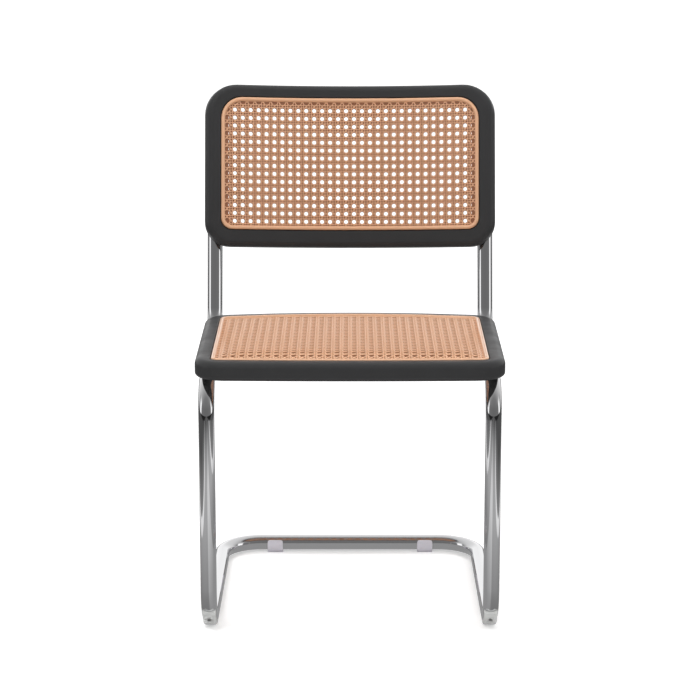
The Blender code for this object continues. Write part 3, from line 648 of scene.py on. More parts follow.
def wear_group():
    """Handling marks: a value that wanders between two roughnesses, and fine height for bumps."""
    name = "handling_marks"
    if name in bpy.data.node_groups:
        return bpy.data.node_groups[name]
    group = bpy.data.node_groups.new(name, "ShaderNodeTree")
    for label in ("Scale", "Low", "High", "Grain", "Vector"):
        kind = "NodeSocketVector" if label == "Vector" else "NodeSocketFloat"
        group.interface.new_socket(label, in_out="INPUT", socket_type=kind)
    for label in ("Roughness", "Height", "Mask"):
        group.interface.new_socket(label, in_out="OUTPUT", socket_type="NodeSocketFloat")
    enter = group.nodes.new("NodeGroupInput").outputs
    cloud = node(group, "TexNoise", Vector=enter["Vector"], Scale=enter["Scale"], Detail=5.0)
    grain = node(group, "TexNoise", Vector=enter["Vector"], Scale=enter["Grain"], Detail=2.0)
    mask = cloud.outputs["Fac"]
    rough = ranged(group, mask, 0.35, 0.65, enter["Low"], enter["High"])
    leave = group.nodes.new("NodeGroupOutput")
    feed(group, leave, Roughness=rough, Height=grain.outputs["Fac"], Mask=mask)
    return group


class Finish:
    """A material under way: its nodes, its shader and its handling marks."""

    def __init__(self, name, low, high, scale, grain, bump, distance=0.0002):
        self.material = bpy.data.materials.new(name)
        self.material.use_nodes = True
        self.tree = self.material.node_tree
        self.shader = self.tree.nodes["Principled BSDF"]
        self.place = node(self.tree, "TexCoord").outputs["Object"]
        wear = self.tree.nodes.new("ShaderNodeGroup")
        wear.node_tree = wear_group()
        feed(self.tree, wear, Scale=scale, Low=low, High=high, Grain=grain, Vector=self.place)
        self.marks = wear.outputs
        height = self.marks["Height"]
        relief = node(self.tree, "Bump", Strength=bump, Distance=distance, Height=height)
        self.set(Roughness=self.marks["Roughness"], Normal=relief.outputs["Normal"])

    def set(self, **values):
        feed(self.tree, self.shader, **values)

    def mottled(self, colour, darker, mask=None):
        """A base colour that wanders a little between two shades."""
        shade = (*[c * darker for c in colour], 1.0)
        tone = blended(self.tree, mask or self.marks["Mask"], shade, (*colour, 1.0))
        self.set(Base_Color=tone)
        return tone


def finished(maker):
    """The material that a function makes, under the function's name and made on first use."""
    name = maker.__name__
    if name not in bpy.data.materials:
        maker(name)
    return bpy.data.materials[name]


def chrome_plate(name):
    finish = Finish(name, 0.02, 0.05, scale=22.0, grain=300.0, bump=0.008)
    finish.set(Metallic=1.0)
    finish.mottled(sizes("finishes").chrome, 0.97)


def satin_black_lacquer(name):
    finish = Finish(name, 0.36, 0.46, scale=30.0, grain=900.0, bump=0.10, distance=0.00008)
    finish.set(Specular_IOR_Level=0.27)
    finish.mottled(sizes("finishes").lacquer, 0.9)


def cane_look_plastic(name):
    """Tan strands over hollows painted in darker, redder shade, after the relief attribute of the mesh,
    which also takes the coat off the hollows.
    """
    finishes = sizes("finishes")
    finish = Finish(name, 0.32, 0.42, scale=60.0, grain=1400.0, bump=0.08, distance=0.0001)
    tan = finish.mottled(finishes.cane, 0.9)
    relief = node(finish.tree, "Attribute", setting=("attribute_name", "relief")).outputs["Fac"]
    # Painted shade: low tones blend the tan towards the shade colour and take the coat away
    lift = ranged(finish.tree, relief, 0.14, 0.60, way="SMOOTHSTEP")
    tone = blended(finish.tree, lift, (*finishes.pit, 1.0), tan)
    finish.set(Specular_IOR_Level=0.8, Coat_Roughness=0.3, Coat_IOR=1.7)
    finish.set(Base_Color=tone, Coat_Weight=lift)


def clear_plastic(name):
    finish = Finish(name, 0.10, 0.22, scale=90.0, grain=500.0, bump=0.05)
    finish.set(Transmission_Weight=0.12, IOR=1.49)
    finish.mottled(sizes("finishes").clear, 0.96)


def white_nylon(name):
    finish = Finish(name, 0.38, 0.48, scale=80.0, grain=900.0, bump=0.06)
    finish.mottled(sizes("finishes").nylon, 0.95)


def zinc_plate(name):
    finish = Finish(name, 0.28, 0.40, scale=200.0, grain=1500.0, bump=0.06)
    finish.set(Metallic=1.0)
    finish.mottled(sizes("finishes").steel, 0.8)


def bare_beech(name):
    """Turned beech with short darker flecks along the grain."""
    finish = Finish(name, 0.50, 0.62, scale=120.0, grain=700.0, bump=0.15)
    stretch = node(finish.tree, "Mapping", Vector=finish.place, Scale=(900.0, 60.0, 900.0))
    fleck = node(finish.tree, "TexNoise", Vector=stretch.outputs["Vector"], Scale=1.0)
    finish.mottled(sizes("finishes").beech, 0.6, fleck.outputs["Fac"])


def black_plastic(name):
    finish = Finish(name, 0.42, 0.55, scale=90.0, grain=1200.0, bump=0.12)
    finish.mottled(sizes("finishes").plug, 0.8)


# The pieces


def bent_bar(name, corners, radii, radius):
    """A round bar drawn along straight runs and spun round each bend, open at both ends."""
    turn = (corners[1] - corners[0]).normalized().to_track_quat("Z", "Y").to_euler()
    bar = circle(name, 48, radius, corners[0], turn)
    here = corners[0]
    for before, corner, after, bend_radius in zip(corners, corners[1:], corners[2:], radii[1:]):
        ahead = (corner - before).normalized()
        then = (after - corner).normalized()
        bend = ahead.angle(then)
        start = corner - ahead * (bend_radius * math.tan(bend / 2))
        push(start - here)
        axis = ahead.cross(then).normalized()
        bpy.ops.mesh.spin(
            steps=max(2, round(bend / BEND_STEP)),
            angle=-bend,
            center=start + axis.cross(ahead) * bend_radius,
            axis=axis,
        )
        here = corner + then * (bend_radius * math.tan(bend / 2))
    push(corners[-1] - here)
    close_mesh()
    return bar


def tube_piece():
    """The whole tube, from one upright's top down and round to the other's."""
    tube = sizes("tube")
    shift = root_matrix()
    corners = [shift @ place for place in tube_corners(1) + tube_corners(-1)[::-1]]
    radii = [0.0, tube.rear_bend, tube.front_bend, tube.floor_bend, tube.corner]
    bar = bent_bar("bent_tube", corners, radii + radii[::-1], tube.diameter / 2)
    outward(bar)
    modify(bar, "SOLIDIFY", thickness=tube.wall, offset=-1.0, use_rim=True)
    smoothed(bar, 40.0, weighted=False)
    dressed(bar, chrome_plate, "chrome_tube", "tube_frame")


def bridge_in(points, z):
    """Draws an outline inside the loose loop at a height and fills the ring between the two.

    It is drawn off the plane and moved back, because the bridge can twist between level loops.
    """
    trace([point + up(OFF_LEVEL) for point in points])
    bpy.ops.mesh.delete(type="ONLY_FACE")
    bridge_level(z, OFF_LEVEL)


def bridge_level(z, lift):
    """Joins the loose loop at a height to the one that waits above or below it."""
    pick(lambda e: at_height(z, loose=True)(e) or at_height(z + lift)(e), "EDGE")
    bpy.ops.mesh.bridge_edge_loops()
    pick(at_height(z + lift), "EDGE")
    bpy.ops.transform.translate(value=(0, 0, -lift))


def ring_piece(name, outer, rebate, opening, thickness, top_round, bottom_round):
    """A flat frame with rounded outer edges, a rebate and an opening, drawn from three outlines."""
    ring = traced(name, outer(0.0))
    push(up(thickness))
    for height, radius in ((thickness, top_round), (0.0, bottom_round)):
        pick(at_height(height), "EDGE")
        bpy.ops.mesh.bevel(offset=radius, segments=8)
    count = len(outer(0.0))
    drop_faces(lambda f: len(f.verts) >= count)
    ledge = thickness - sizes("panels").rebate
    bridge_in(rebate(thickness), thickness)
    push(up(ledge - thickness))
    bridge_in(opening(ledge), ledge)
    push(up(-ledge - OFF_LEVEL))
    bridge_level(0.0, -OFF_LEVEL)
    pick(lambda e: at_height(thickness)(e) and e.calc_face_angle(0.0) > 1.0, "EDGE")
    bpy.ops.mesh.bevel(offset=INNER_ROUND, segments=3)
    close_mesh()
    outward(ring)
    return ring


def rim_piece(name, outline, bottom, face):
    """The panel's bead and blind border, inset ring by ring from the panel's outline."""
    panels = sizes("panels")
    rim = traced(name, outline(bottom))
    shoulder = face - SHOULDER
    push(up(shoulder - bottom))
    count = len(outline(bottom))
    face_outwards()
    pick(lambda f: len(f.verts) >= count and f.normal.z > 0.5, "FACE")
    steps, half, height = 8, panels.rim / 2, face + panels.proud - shoulder
    angles = [math.pi * k / steps for k in range(1, steps + 1)]
    rings = [(half * (1 - math.cos(a)), height * math.sin(a)) for a in angles]
    floor = face - panels.sunk - FLOOR_DROP
    rings += [(panels.rim + FOOT_WIDTH, -FOOT_DROP), (panels.rim + 3 * FOOT_WIDTH, floor - shoulder)]
    rings.append((panels.band, floor - shoulder))
    last = (0.0, 0.0)
    for across, rise in rings:
        bpy.ops.mesh.inset(thickness=across - last[0], depth=rise - last[1], use_even_offset=True)
        last = (across, rise)
    bpy.ops.transform.resize(value=(FLOOR_SHRINK, 1.0, 1.0), center_override=(0, 0, 0))
    bpy.ops.mesh.delete(type="FACE")
    pick(lambda e: len(e.link_faces) == 1, "EDGE")
    push(up(bottom - floor - OFF_LEVEL))
    drop_faces(lambda f: len(f.verts) >= count)
    bridge_level(bottom, -OFF_LEVEL)
    close_mesh()
    outward(rim)
    return rim


def arrayed(obj, along, count, merge):
    """Repeats an object's mesh in a row."""
    modify(
        obj,
        "ARRAY",
        count=count,
        use_relative_offset=False,
        use_constant_offset=True,
        constant_offset_displace=along,
        use_merge_vertices=merge,
        merge_threshold=1e-5,
    )


def clipped(obj, outline, closed):
    """Cuts off all that lies outside a convex outline, and closes the cuts if asked."""
    open_mesh(obj)
    last = outline[0] - outline[-1]
    for start, end in zip(outline, outline[1:] + outline[:1]):
        if (end - start).angle(last) < 1e-3:
            continue
        last = end - start
        away = last.cross(up(1)).normalized()
        take_all()
        bpy.ops.mesh.bisect(
            plane_co=start, plane_no=away, use_fill=closed, clear_outer=True, threshold=1e-6
        )
    close_mesh()


def strand(name, start, base, stations, side, cells, along, across, count):
    """One strand's rise and fall over a cell, repeated along its run and across the panel.

    stations are shares of the cell's length with the strand's height there.
    """
    panels = sizes("panels")
    along, across = Vector((*along, 0)), Vector((*across, 0))
    heading = along.normalized()
    sideways = Vector((heading.y, -heading.x, 0.0))
    half, depth = panels.strand / 2, panels.relief * STRAND_ROUND
    first = stations[0][1]
    foot = first - STRAND_SUNK - max(height for _, height in stations)
    flank = [(half, foot), (half, first - depth), (half * STRAND_FLAT, first)]
    section = [(-x, z) for x, z in flank] + flank[::-1]
    obj = traced(name, [start + sideways * (side + x) + up(base + z) for x, z in section])
    previous = stations[0]
    for share, height in stations[1:]:
        push(along * (share - previous[0]) + up(height - previous[1]))
        previous = (share, height)
    drop_faces(lambda f: abs(f.normal.dot(heading)) > 0.9)
    close_mesh()
    arrayed(obj, along, cells, True)
    arrayed(obj, across, count, False)
    return obj


def web_piece(name, corner, columns, rows, top):
    """The web with its eight-sided holes, one cell drawn and then repeated."""
    panels = sizes("panels")
    p, turn = panels.pitch, math.pi / 8
    middle = (corner.x, corner.y, top)
    web = circle(name, 8, panels.hole / 2 / math.cos(turn), middle, (0, 0, turn))
    grow = p / panels.hole
    bpy.ops.mesh.extrude_region_move()
    bpy.ops.transform.resize(value=(grow, grow, 1.0), center_override=middle)
    close_mesh()
    arrayed(web, (p, 0, 0), columns, True)
    arrayed(web, (0, p, 0), rows, True)
    open_mesh(web)
    take_all()
    bpy.ops.mesh.fill_holes(sides=4)
    face_outwards()
    close_mesh()
    return web


def cane_panel(name, outline, edge, bottom, face, underside):
    """A moulded panel: rim, holed web and six families of strands, with its relief and painted shade
    noted.
    """
    panels = sizes("panels")
    p, s = panels.pitch, panels.spread
    base = face - panels.sunk
    columns = 2 * math.ceil(max(v.x for v in edge) / p) + 2
    first_row = math.floor(min(v.y for v in edge) / p) - 1
    rows = math.ceil(max(v.y for v in edge) / p) + 1 - first_row
    corner = Vector((-(columns - 1) * p / 2, first_row * p, 0))
    rim = rim_piece(f"{name}_rim", outline, bottom, face)
    web = web_piece(f"{name}_web", corner, columns, rows, base)
    clipped(web, edge, False)
    modify(web, "SOLIDIFY", thickness=panels.web, offset=-1.0, use_rim=True)
    outward(web)
    top, crest, dip = (panels.relief * share for share in STRAND_HEIGHTS)
    half, crossing, step = p / 2, p / 2 - s, 2 * s / p
    over, under = ((0, crest), (step, dip), (1, crest)), ((0, dip), (step, crest), (1, dip))
    zig, zag = ((0, top), (0.5, dip), (1, top)), ((0, dip), (0.5, top), (1, dip))
    diagonals = columns + rows + 1
    parts = [rim, web]
    for label, x, y, *run in (
        ("v1", -half, crossing, over, -s, rows, (0, p), (p, 0), columns + 1),
        ("v2", -half, crossing, under, s, rows, (0, p), (p, 0), columns + 1),
        ("h1", crossing, -half, over, -s, columns, (p, 0), (0, p), rows + 1),
        ("h2", crossing, -half, under, s, columns, (p, 0), (0, p), rows + 1),
        ("d1", -half - rows * p, 0, zag, 0, rows, (p, p), (p, 0), diagonals),
        ("d2", -half, 0, zig, 0, rows, (-p, p), (p, 0), diagonals),
    ):
        start = Vector((corner.x + x, corner.y + y, 0))
        part = strand(f"{name}_{label}", start, base, *run)
        clipped(part, edge, True)
        outward(part)
        parts.append(part)
    panel = joined(parts, name)
    note_relief_shade(panel.data, base, underside)
    return panel


def note_relief_shade(mesh, base, underside):
    """Writes each face corner's tone: 0 in the darkest painted shade, about 1 on a strand's crest."""
    panels = sizes("panels")
    relief = mesh.attributes.new("relief", "FLOAT", "CORNER")
    for face in mesh.polygons:
        for corner in face.loop_indices:
            height = mesh.vertices[mesh.loops[corner].vertex_index].co.z - base
            if face.normal.z < -0.5:
                tone = underside
            elif abs(height + FLOOR_DROP) < 2 * LEVEL_SLACK:
                tone = FLOOR_TONE
            elif abs(face.normal.z) < 0.3 and height < LEVEL_SLACK:
                tone = HOLE_EDGE_TONE if height > -LEVEL_SLACK else 0.0
            elif height > panels.relief * 1.05:
                tone = BEAD_TONE
            else:
                tone = max(0.0, height / panels.relief + WEB_TONE)
            relief.data[corner].value = tone


def bent_round(obj):
    """Stands the flat back up, bends it to its bow and sets it against the uprights."""
    back = sizes("back")
    lift = Matrix.Rotation(math.pi / 2, 4, "X")
    put(obj, lift @ Matrix.Translation(up(-back.thickness)))
    wide = max(v.co.x for v in obj.data.vertices) - min(v.co.x for v in obj.data.vertices)
    modify(obj, "SIMPLE_DEFORM", deform_method="BEND", deform_axis="Z", angle=-wide / back.bow)
    put(obj, back_matrix() @ Matrix.Translation(up(back.thickness)) @ lift.inverted())


def crowned(panel):
    """Lets the seat panel roll down to its front rim and sink a little to the rear."""
    seat, panels = sizes("seat"), sizes("panels")
    front = -seat.overhang + seat.border + panels.gap + panels.rim
    rear = -seat.overhang + seat.side - seat.border - panels.rim
    for vertex in panel.data.vertices:
        edge = seat.width / 2 - seat.border - panels.gap - abs(vertex.co.x)
        ahead = min(1.0, max(0.0, (vertex.co.y - front) / panels.roll))
        behind = min(1.0, max(0.0, (rear - vertex.co.y) / (rear - front)))
        side = min(1.0, max(0.0, (edge - panels.rim) / SIDE_ROLL))
        rise = math.sin(ahead * math.pi / 2) * behind * math.sin(side * math.pi / 2)
        vertex.co.z += panels.crown * rise


def lacquered(ring, part):
    """Finishes a frame, which stands for its rails and stiles."""
    smoothed(ring)
    bars = [n for n in NAMES if n.startswith(f"{part}_") and n.endswith(("_rail", "_stile"))]
    dressed(ring, satin_black_lacquer, "black_lacquer", *bars)


def moulded(panel, part):
    """Finishes a cane-look panel."""
    smoothed(panel, 50.0, weighted=False)
    dressed(panel, cane_look_plastic, "cane_plastic", f"{part}_panel")


def seat_pieces():
    """The seat's frame and its panel, drawn flat and then put on the seat tubes."""
    seat, panels = sizes("seat"), sizes("panels")
    face = seat.thickness
    ring = ring_piece(
        "seat_frame",
        lambda z: seat_outline(0.0, seat.front_corner, seat.rear_corner, z),
        lambda z: seat_outline(seat.border, seat.panel_front, seat.panel_rear, z),
        lambda z: seat_outline(*SEAT_OPENING, z),
        face,
        seat.top_round,
        seat.bottom_round,
    )
    put(ring, seat_matrix())
    lacquered(ring, "seat")
    edge = seat.border + panels.gap
    corners = (seat.panel_front - WEB_CORNER, seat.panel_rear - WEB_CORNER)
    panel = cane_panel(
        "seat_cane_panel",
        lambda z: seat_outline(edge, seat.panel_front, seat.panel_rear, z),
        seat_outline(edge + WEB_INSET, *corners, 0, 8, 3),
        face - panels.rebate + CLEARANCE,
        face,
        SEAT_UNDERSIDE_TONE,
    )
    crowned(panel)
    put(panel, seat_matrix())
    moulded(panel, "seat")


def back_pieces():
    """The back's frame and its panel, drawn flat and then bowed against the uprights."""
    back, panels = sizes("back"), sizes("panels")
    face = back.thickness
    borders = (back.border, back.border_top, back.border_bottom)
    ring = ring_piece(
        "back_frame",
        lambda z: back_outline((0.0, 0.0, 0.0), back.top_corner, back.bottom_corner, z),
        lambda z: back_outline(borders, back.panel_top, back.panel_bottom, z),
        lambda z: back_outline(*BACK_OPENING, z),
        face,
        back.front_round,
        back.rear_round,
    )
    bent_round(ring)
    lacquered(ring, "back")
    edges = [border + panels.gap for border in borders]
    corners = (back.panel_top - WEB_CORNER, back.panel_bottom - WEB_CORNER)
    panel = cane_panel(
        "back_cane_panel",
        lambda z: back_outline(edges, back.panel_top, back.panel_bottom, z),
        back_outline([edge + WEB_INSET for edge in edges], *corners, 0, 0, 3),
        face - panels.rebate + CLEARANCE,
        face,
        BACK_UNDERSIDE_TONE,
    )
    bent_round(panel)
    moulded(panel, "back")


def floor_bend_matrix(side):
    """Places a floor bend's corner, with y along its base rail."""
    tube = sizes("tube")
    heading = math.atan(side * (tube.leg_spacing - tube.base_spacing) / 2 / tube.bar_distance)
    place = Matrix.Translation((side * tube.leg_spacing / 2, 0.0, tube.axis_height))
    return root_matrix() @ place @ Matrix.Rotation(heading, 4, "Z")


def arc(radius, start, end, steps):
    """Points of an arc in the x-z plane, its angle counted from straight down."""
    angles = [start + (end - start) * k / steps for k in range(steps + 1)]
    return [Vector((radius * math.sin(a), 0.0, -radius * math.cos(a))) for a in angles]


def saddle(name, side):
    """A cradle drawn in section, run under the rail and spun up round the floor bend."""
    tube, feet = sizes("tube"), sizes("feet")
    inner, outer = tube.diameter / 2 + CLEARANCE, feet.saddle_radius
    half = feet.saddle_width / 2
    lip, heel = math.asin(half / inner), math.asin(half / outer)
    sole = math.acos(min(1.0, tube.axis_height / outer))
    points = arc(inner, lip, -lip, 20) + arc(outer, -heel, -sole, 5) + arc(outer, sole, heel, 5)
    tail = Vector((0.0, tube.floor_bend + feet.saddle_tail, 0.0))
    obj = traced(f"clear_saddle_{name}", [point + tail for point in points])
    push(Vector((0, -feet.saddle_tail, 0)))
    centre = (0.0, tube.floor_bend, tube.floor_bend)
    bpy.ops.mesh.spin(steps=14, angle=feet.saddle_wrap, center=centre, axis=(1, 0, 0))
    close_mesh()
    outward(obj)
    eased(obj, SADDLE_EASE, 38)
    put(obj, floor_bend_matrix(side))
    smoothed(obj, 40.0)
    dressed(obj, clear_plastic, "clear_plastic", f"front_{name}_foot")


def clip(name, side):
    """A white clip: a ring with a flat sole and an open top, its upper corners rounded off."""
    tube, feet = sizes("tube"), sizes("feet")
    inner, outer = tube.diameter / 2 + CLEARANCE, feet.clip_radius
    sole = math.acos(min(1.0, tube.axis_height / outer))
    points = arc(outer, sole, CLIP_WRAP, 14) + arc(inner, CLIP_WRAP, -CLIP_WRAP, 40)
    obj = traced(f"white_clip_{name}", points + arc(outer, -CLIP_WRAP, -sole, 14))
    push(Vector((0, feet.clip_length, 0)))
    close_mesh()
    half, top = feet.clip_length / 2, -outer * math.cos(CLIP_WRAP)
    put(obj, Matrix.Rotation(math.pi / 2, 4, "Z") @ Matrix.Translation((0, -half, 0)))
    clear = 2 * outer
    box = [(x, -clear, z) for x, z in ((-half, -clear), (half, -clear), (half, top), (-half, top))]
    cutter = traced("clip_corners", rounded(box, [0.0, 0.0, CLIP_CORNER, CLIP_CORNER], 8))
    push(Vector((0, 2 * clear, 0)))
    close_mesh()
    outward(cutter)
    outward(obj)
    cut_with(obj, cutter, "INTERSECT")
    eased(obj, CLIP_EASE, 40)
    seat = Matrix.Translation((side * feet.clip_spacing / 2, tube.bar_distance, tube.axis_height))
    put(obj, root_matrix() @ seat)
    smoothed(obj, 40.0)
    dressed(obj, white_nylon, "white_nylon", f"rear_{name}_glide")


def turned(name, profile, sides=32):
    """A turned solid: a circle pushed up its axis and drawn in or out at each step."""
    radius, height = profile[0]
    obj = circle(name, sides, radius, (0, 0, height), filling="NGON")
    for (before, low), (radius, high) in zip(profile, profile[1:]):
        push(up(high - low))
        grow = radius / before
        bpy.ops.transform.resize(value=(grow, grow, 1.0), center_override=(0, 0, high))
    close_mesh()
    outward(obj)
    return obj


def plugs():
    """Domed black plugs in the tube's two ends."""
    tube = sizes("tube")
    outer = tube.diameter / 2
    stem, ease, edge, dome = outer - tube.wall - CLEARANCE, 0.0003, 0.0009, 0.0021
    profile = [(stem * 0.94, -PLUG_STEM), (stem, -PLUG_STEM + 0.0015), (stem, CLEARANCE)]
    profile += [(outer - ease, CLEARANCE), (outer, edge)]
    profile += [(outer * math.cos(a), edge + dome * math.sin(a)) for a in (0.35, 0.7, 1.05, 1.35)]
    for name, side in SIDES:
        top, bend = (root_matrix() @ place for place in tube_corners(side)[:2])
        plug = turned(f"{name}_domed_plug", profile)
        put(plug, aimed(top, top - bend))
        smoothed(plug, 40.0)
        dressed(plug, black_plastic, "black_plastic", f"{name}_tube_plug")


def pan_screw(name, shank, reach, head, height):
    """A pan-head screw with a cross recess, its head's underside at z = 0."""
    half = head / 2
    profile = [(half * 0.35, -height), (half * 0.7, -height * 0.94), (half * 0.9, -height * 0.7)]
    profile += [(half, -height * 0.3), (half, 0.0), (shank / 2, 0.0), (shank / 2, reach * 0.8)]
    screw = turned(name, profile + [(shank * 0.12, reach)], 24)
    for turn in (0.0, math.pi / 2):
        lay_aside()
        bpy.ops.mesh.primitive_cube_add(size=1.0, location=(0, 0, -height), rotation=(0, 0, turn))
        cutter = bpy.context.object
        cutter.scale = (head * 0.52, head * 0.11, height * 1.1)
        bpy.ops.object.transform_apply()
        open_mesh(cutter)
        pick(lambda v: v.co.z > -height, "VERT")
        bpy.ops.transform.resize(value=(0.45, 0.45, 1.0), center_override=(0, 0, 0))
        close_mesh()
        cut_with(screw, cutter)
    outward(screw)
    smoothed(screw)
    return screw


def seat_screw_places():
    """Through the seat tubes into the side rails, in from the rails' ends."""
    tube, seat = sizes("tube"), sizes("seat")
    front = -seat.overhang + seat.front_bow + seat.front_corner + RAIL_END
    rear = -seat.overhang + seat.side - seat.rear_corner - RAIL_END
    heading = Vector((0.0, math.sin(seat.slope), math.cos(seat.slope)))
    for _, side in SIDES:
        for distance in (front + SEAT_SCREW_INSET, rear - SEAT_SCREW_INSET):
            share = distance / tube.bend_distance
            half = (tube.leg_spacing + share * (tube.upright_spacing - tube.leg_spacing)) / 2
            yield root_matrix() @ aimed((side * half, distance, seat_tube_height(distance)), heading)


def back_screw_places():
    """Through the uprights into the stiles, in from the stiles' ends."""
    back = sizes("back")
    inset = RAIL_END + BACK_SCREW_INSET
    low, high = -back.height / 2 + back.bottom_corner, back.height / 2 - back.top_corner
    for _, side in SIDES:
        turn = side * back_contact()
        for y in (low + inset, high - inset):
            axis = (side * sizes("tube").upright_spacing / 2, y, upright_depth())
            yield back_matrix() @ aimed(axis, (-math.sin(turn), 0.0, math.cos(turn)))


def seat_panel_places():
    """Through the rebate's ledge into the seat panel's rim, from below."""
    seat = sizes("seat")
    edge = seat.border + PANEL_SCREW_INSET
    for x in PANEL_SCREW_COLUMNS:
        for y in seat_edges(x / (seat.width / 2 - edge), edge):
            yield seat_matrix() @ aimed((x, y, -CLEARANCE), (0, 0, 1))


def back_panel_places():
    """Through the rebate's ledge into the back panel's rim, from behind."""
    back = sizes("back")
    low = -back.height / 2 + back.border_bottom + PANEL_SCREW_INSET
    high = back.height / 2 - back.border_top - PANEL_SCREW_INSET
    for x in PANEL_SCREW_COLUMNS:
        heading = Vector((-math.sin(x / back.bow), 0.0, math.cos(x / back.bow)))
        for y in (low, high):
            yield back_matrix() @ aimed(bowed_place(x, y, 0.0) - heading * CLEARANCE, heading)


def foot_screw_places():
    """Up through the saddles into the floor bends."""
    tube = sizes("tube")
    heading = Vector((0.0, math.sin(FOOT_SCREW_TILT), math.cos(FOOT_SCREW_TILT)))
    middle = Vector((0.0, tube.floor_bend, tube.floor_bend))
    for _, side in SIDES:
        yield floor_bend_matrix(side) @ aimed(middle - heading * tube.floor_bend, heading)


def screw_sets():
    """Each kind of screw: name, shank, reach, head, height, its places and how far it is sunk."""
    tube, ledge = sizes("tube"), sizes("panels").rebate - PANEL_SCREW_BITE
    long, radius = tube.diameter + RAIL_SCREW_BITE, tube.diameter / 2 + CLEARANCE
    sole = tube.axis_height + CLEARANCE
    seat, back = sizes("seat").thickness - ledge, sizes("back").thickness - ledge
    return (
        ("seat_screw", 0.005, long, 0.0095, 0.003, seat_screw_places(), radius),
        ("back_screw", 0.005, long, 0.0095, 0.003, back_screw_places(), radius),
        ("foot_screw", 0.0035, 0.011, 0.007, 0.002, foot_screw_places(), sole),
        ("seat_panel_screw", 0.003, seat, 0.006, 0.002, seat_panel_places(), 0.0),
        ("back_panel_screw", 0.003, back, 0.006, 0.002, back_panel_places(), 0.0),
    )


def screws():
    """Models each kind of screw once and copies it to its places."""
    for kind, shank, reach, head, height, places, sunk in screw_sets():
        model = pan_screw(f"{kind}_model", shank, reach, head, height)
        for number, place in enumerate(places, 1):
            place = place @ Matrix.Translation(up(-sunk))
            screw = copied(model, f"cross_{kind}_{number}", place)
            dressed(screw, zinc_plate, "zinc_plated_steel", f"{kind}_{number}")
        throw_away(model)


def dowels():
    """The dowels inside the frames keep their solids and get bare beech."""
    for name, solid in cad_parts.items():
        if "_dowel_" in name:
            solid.data.materials.clear()
            solid.data.materials.append(finished(bare_beech))


# Stage


def light(name, size, energy, place, target_height):
    """A square light that points at a height over the middle and doesn't show in gloss."""
    lay_aside()
    bpy.ops.object.light_add(type="AREA", location=place)
    lamp = bpy.context.object
    lamp.name = name
    lamp.data.size, lamp.data.energy = size, energy
    lamp.visible_glossy = False
    lamp.rotation_euler = (up(target_height) - Vector(place)).to_track_quat("-Z", "Y").to_euler()


def stops(tree, place, pairs):
    """A grey ramp from pairs of place and level, its places counted from 0 to RAMP_SPAN."""
    ramp = node(tree, "ValToRGB", Fac=place)
    elements = ramp.color_ramp.elements
    while len(elements) < len(pairs):
        elements.new(1.0)
    for element, (stop, level) in zip(elements, pairs):
        element.position = stop / RAMP_SPAN
        element.color = (level, level, level, 1.0)
    return ramp.outputs["Color"]


def mixed(tree, share, first, second):
    """A shader between two others."""
    return node(tree, "MixShader", share, first.outputs[0], second.outputs[0])


def background_material():
    """A floor that the camera, gloss and glass see as white, with the chair's shadow kept.

    Gloss sees white paper round the chair, with painted shadow darkening it near the middle, and a dark
    studio floor past its edges.
    """
    material = bpy.data.materials.new("paper_floor")
    material.use_nodes = True
    tree = material.node_tree
    tree.nodes.clear()
    path = node(tree, "LightPath").outputs
    place = node(tree, "TexCoord").outputs["Object"]
    far = node(tree, "VectorMath", place, setting=("operation", "LENGTH")).outputs["Value"]
    seen = reckoned(tree, "MAXIMUM", path["Is Camera Ray"], path["Is Transmission Ray"])
    level = reckoned(tree, "MULTIPLY", seen, ranged(tree, far, 0.4, 4.5, 0.38, 0.75))
    matt = node(tree, "BsdfDiffuse", Color=(0.92, 0.92, 0.92, 1))
    glow = node(tree, "Emission", Strength=level)
    paper = node(tree, "AddShader", matt.outputs["BSDF"], glow.outputs["Emission"])
    axes = node(tree, "SeparateXYZ", Vector=place).outputs
    aside = reckoned(tree, "ABSOLUTE", axes["X"])
    sheet = ((0, 0.8), (0.2, 0.8), (0.22, 0.5), (0.7, 0.5), (0.72, 1), (0.82, 1), (0.84, 0.3), (1.3, 0.1))
    across = stops(tree, reckoned(tree, "DIVIDE", aside, RAMP_SPAN), sheet)
    strip = reckoned(tree, "MULTIPLY", across, ranged(tree, axes["Y"], -1.8, -1.1, 0.2, 1.0))
    # Painted shadow: what gloss sees of the floor falls to under half its level within 0.3 m of the
    # middle, where the chair stands
    gloss_with_painted_shadow = reckoned(tree, "MULTIPLY", strip, ranged(tree, far, 0.3, 0.9, 0.45, 1.0))
    gloss = node(tree, "Emission", Strength=gloss_with_painted_shadow)
    surface = mixed(tree, path["Is Glossy Ray"], paper, gloss)
    node(tree, "OutputMaterial", Surface=surface.outputs["Shader"])
    return material


def studio_world():
    """White behind the chair for the camera, gloss and glass; plain soft light for all else."""
    world = bpy.data.worlds.new("studio")
    bpy.context.scene.world = world
    world.use_nodes = True
    tree = world.node_tree
    tree.nodes.clear()
    path = node(tree, "LightPath").outputs
    axes = node(tree, "SeparateXYZ", Vector=node(tree, "TexCoord").outputs["Generated"]).outputs
    turn = ranged(tree, axes["Y"], -1.0, 1.0)
    low = ((0, 0.13), (0.65, 0.16), (0.72, 1), (1.02, 1), (1.1, 0.2), (1.5, 0.6), (1.8, 0.72), (2, 0.9))
    high = ((0, 0.14), (0.4, 0.18), (1, 0.4), (1.5, 0.6), (2, 0.7))
    height = ranged(tree, axes["Z"], 0.3, 0.5)
    around = blended(tree, height, stops(tree, turn, low), stops(tree, turn, high))
    gloss = node(tree, "Background", Color=around, Strength=1.35)
    soft = node(tree, "Background", Strength=0.55)
    white = node(tree, "Background", Color=(1.0, 1.0, 1.0, 1.0))
    seen = reckoned(tree, "MAXIMUM", path["Is Camera Ray"], path["Is Transmission Ray"])
    unseen = mixed(tree, path["Is Glossy Ray"], soft, gloss)
    surface = mixed(tree, seen, unseen, white)
    node(tree, "OutputWorld", Surface=surface.outputs["Shader"])


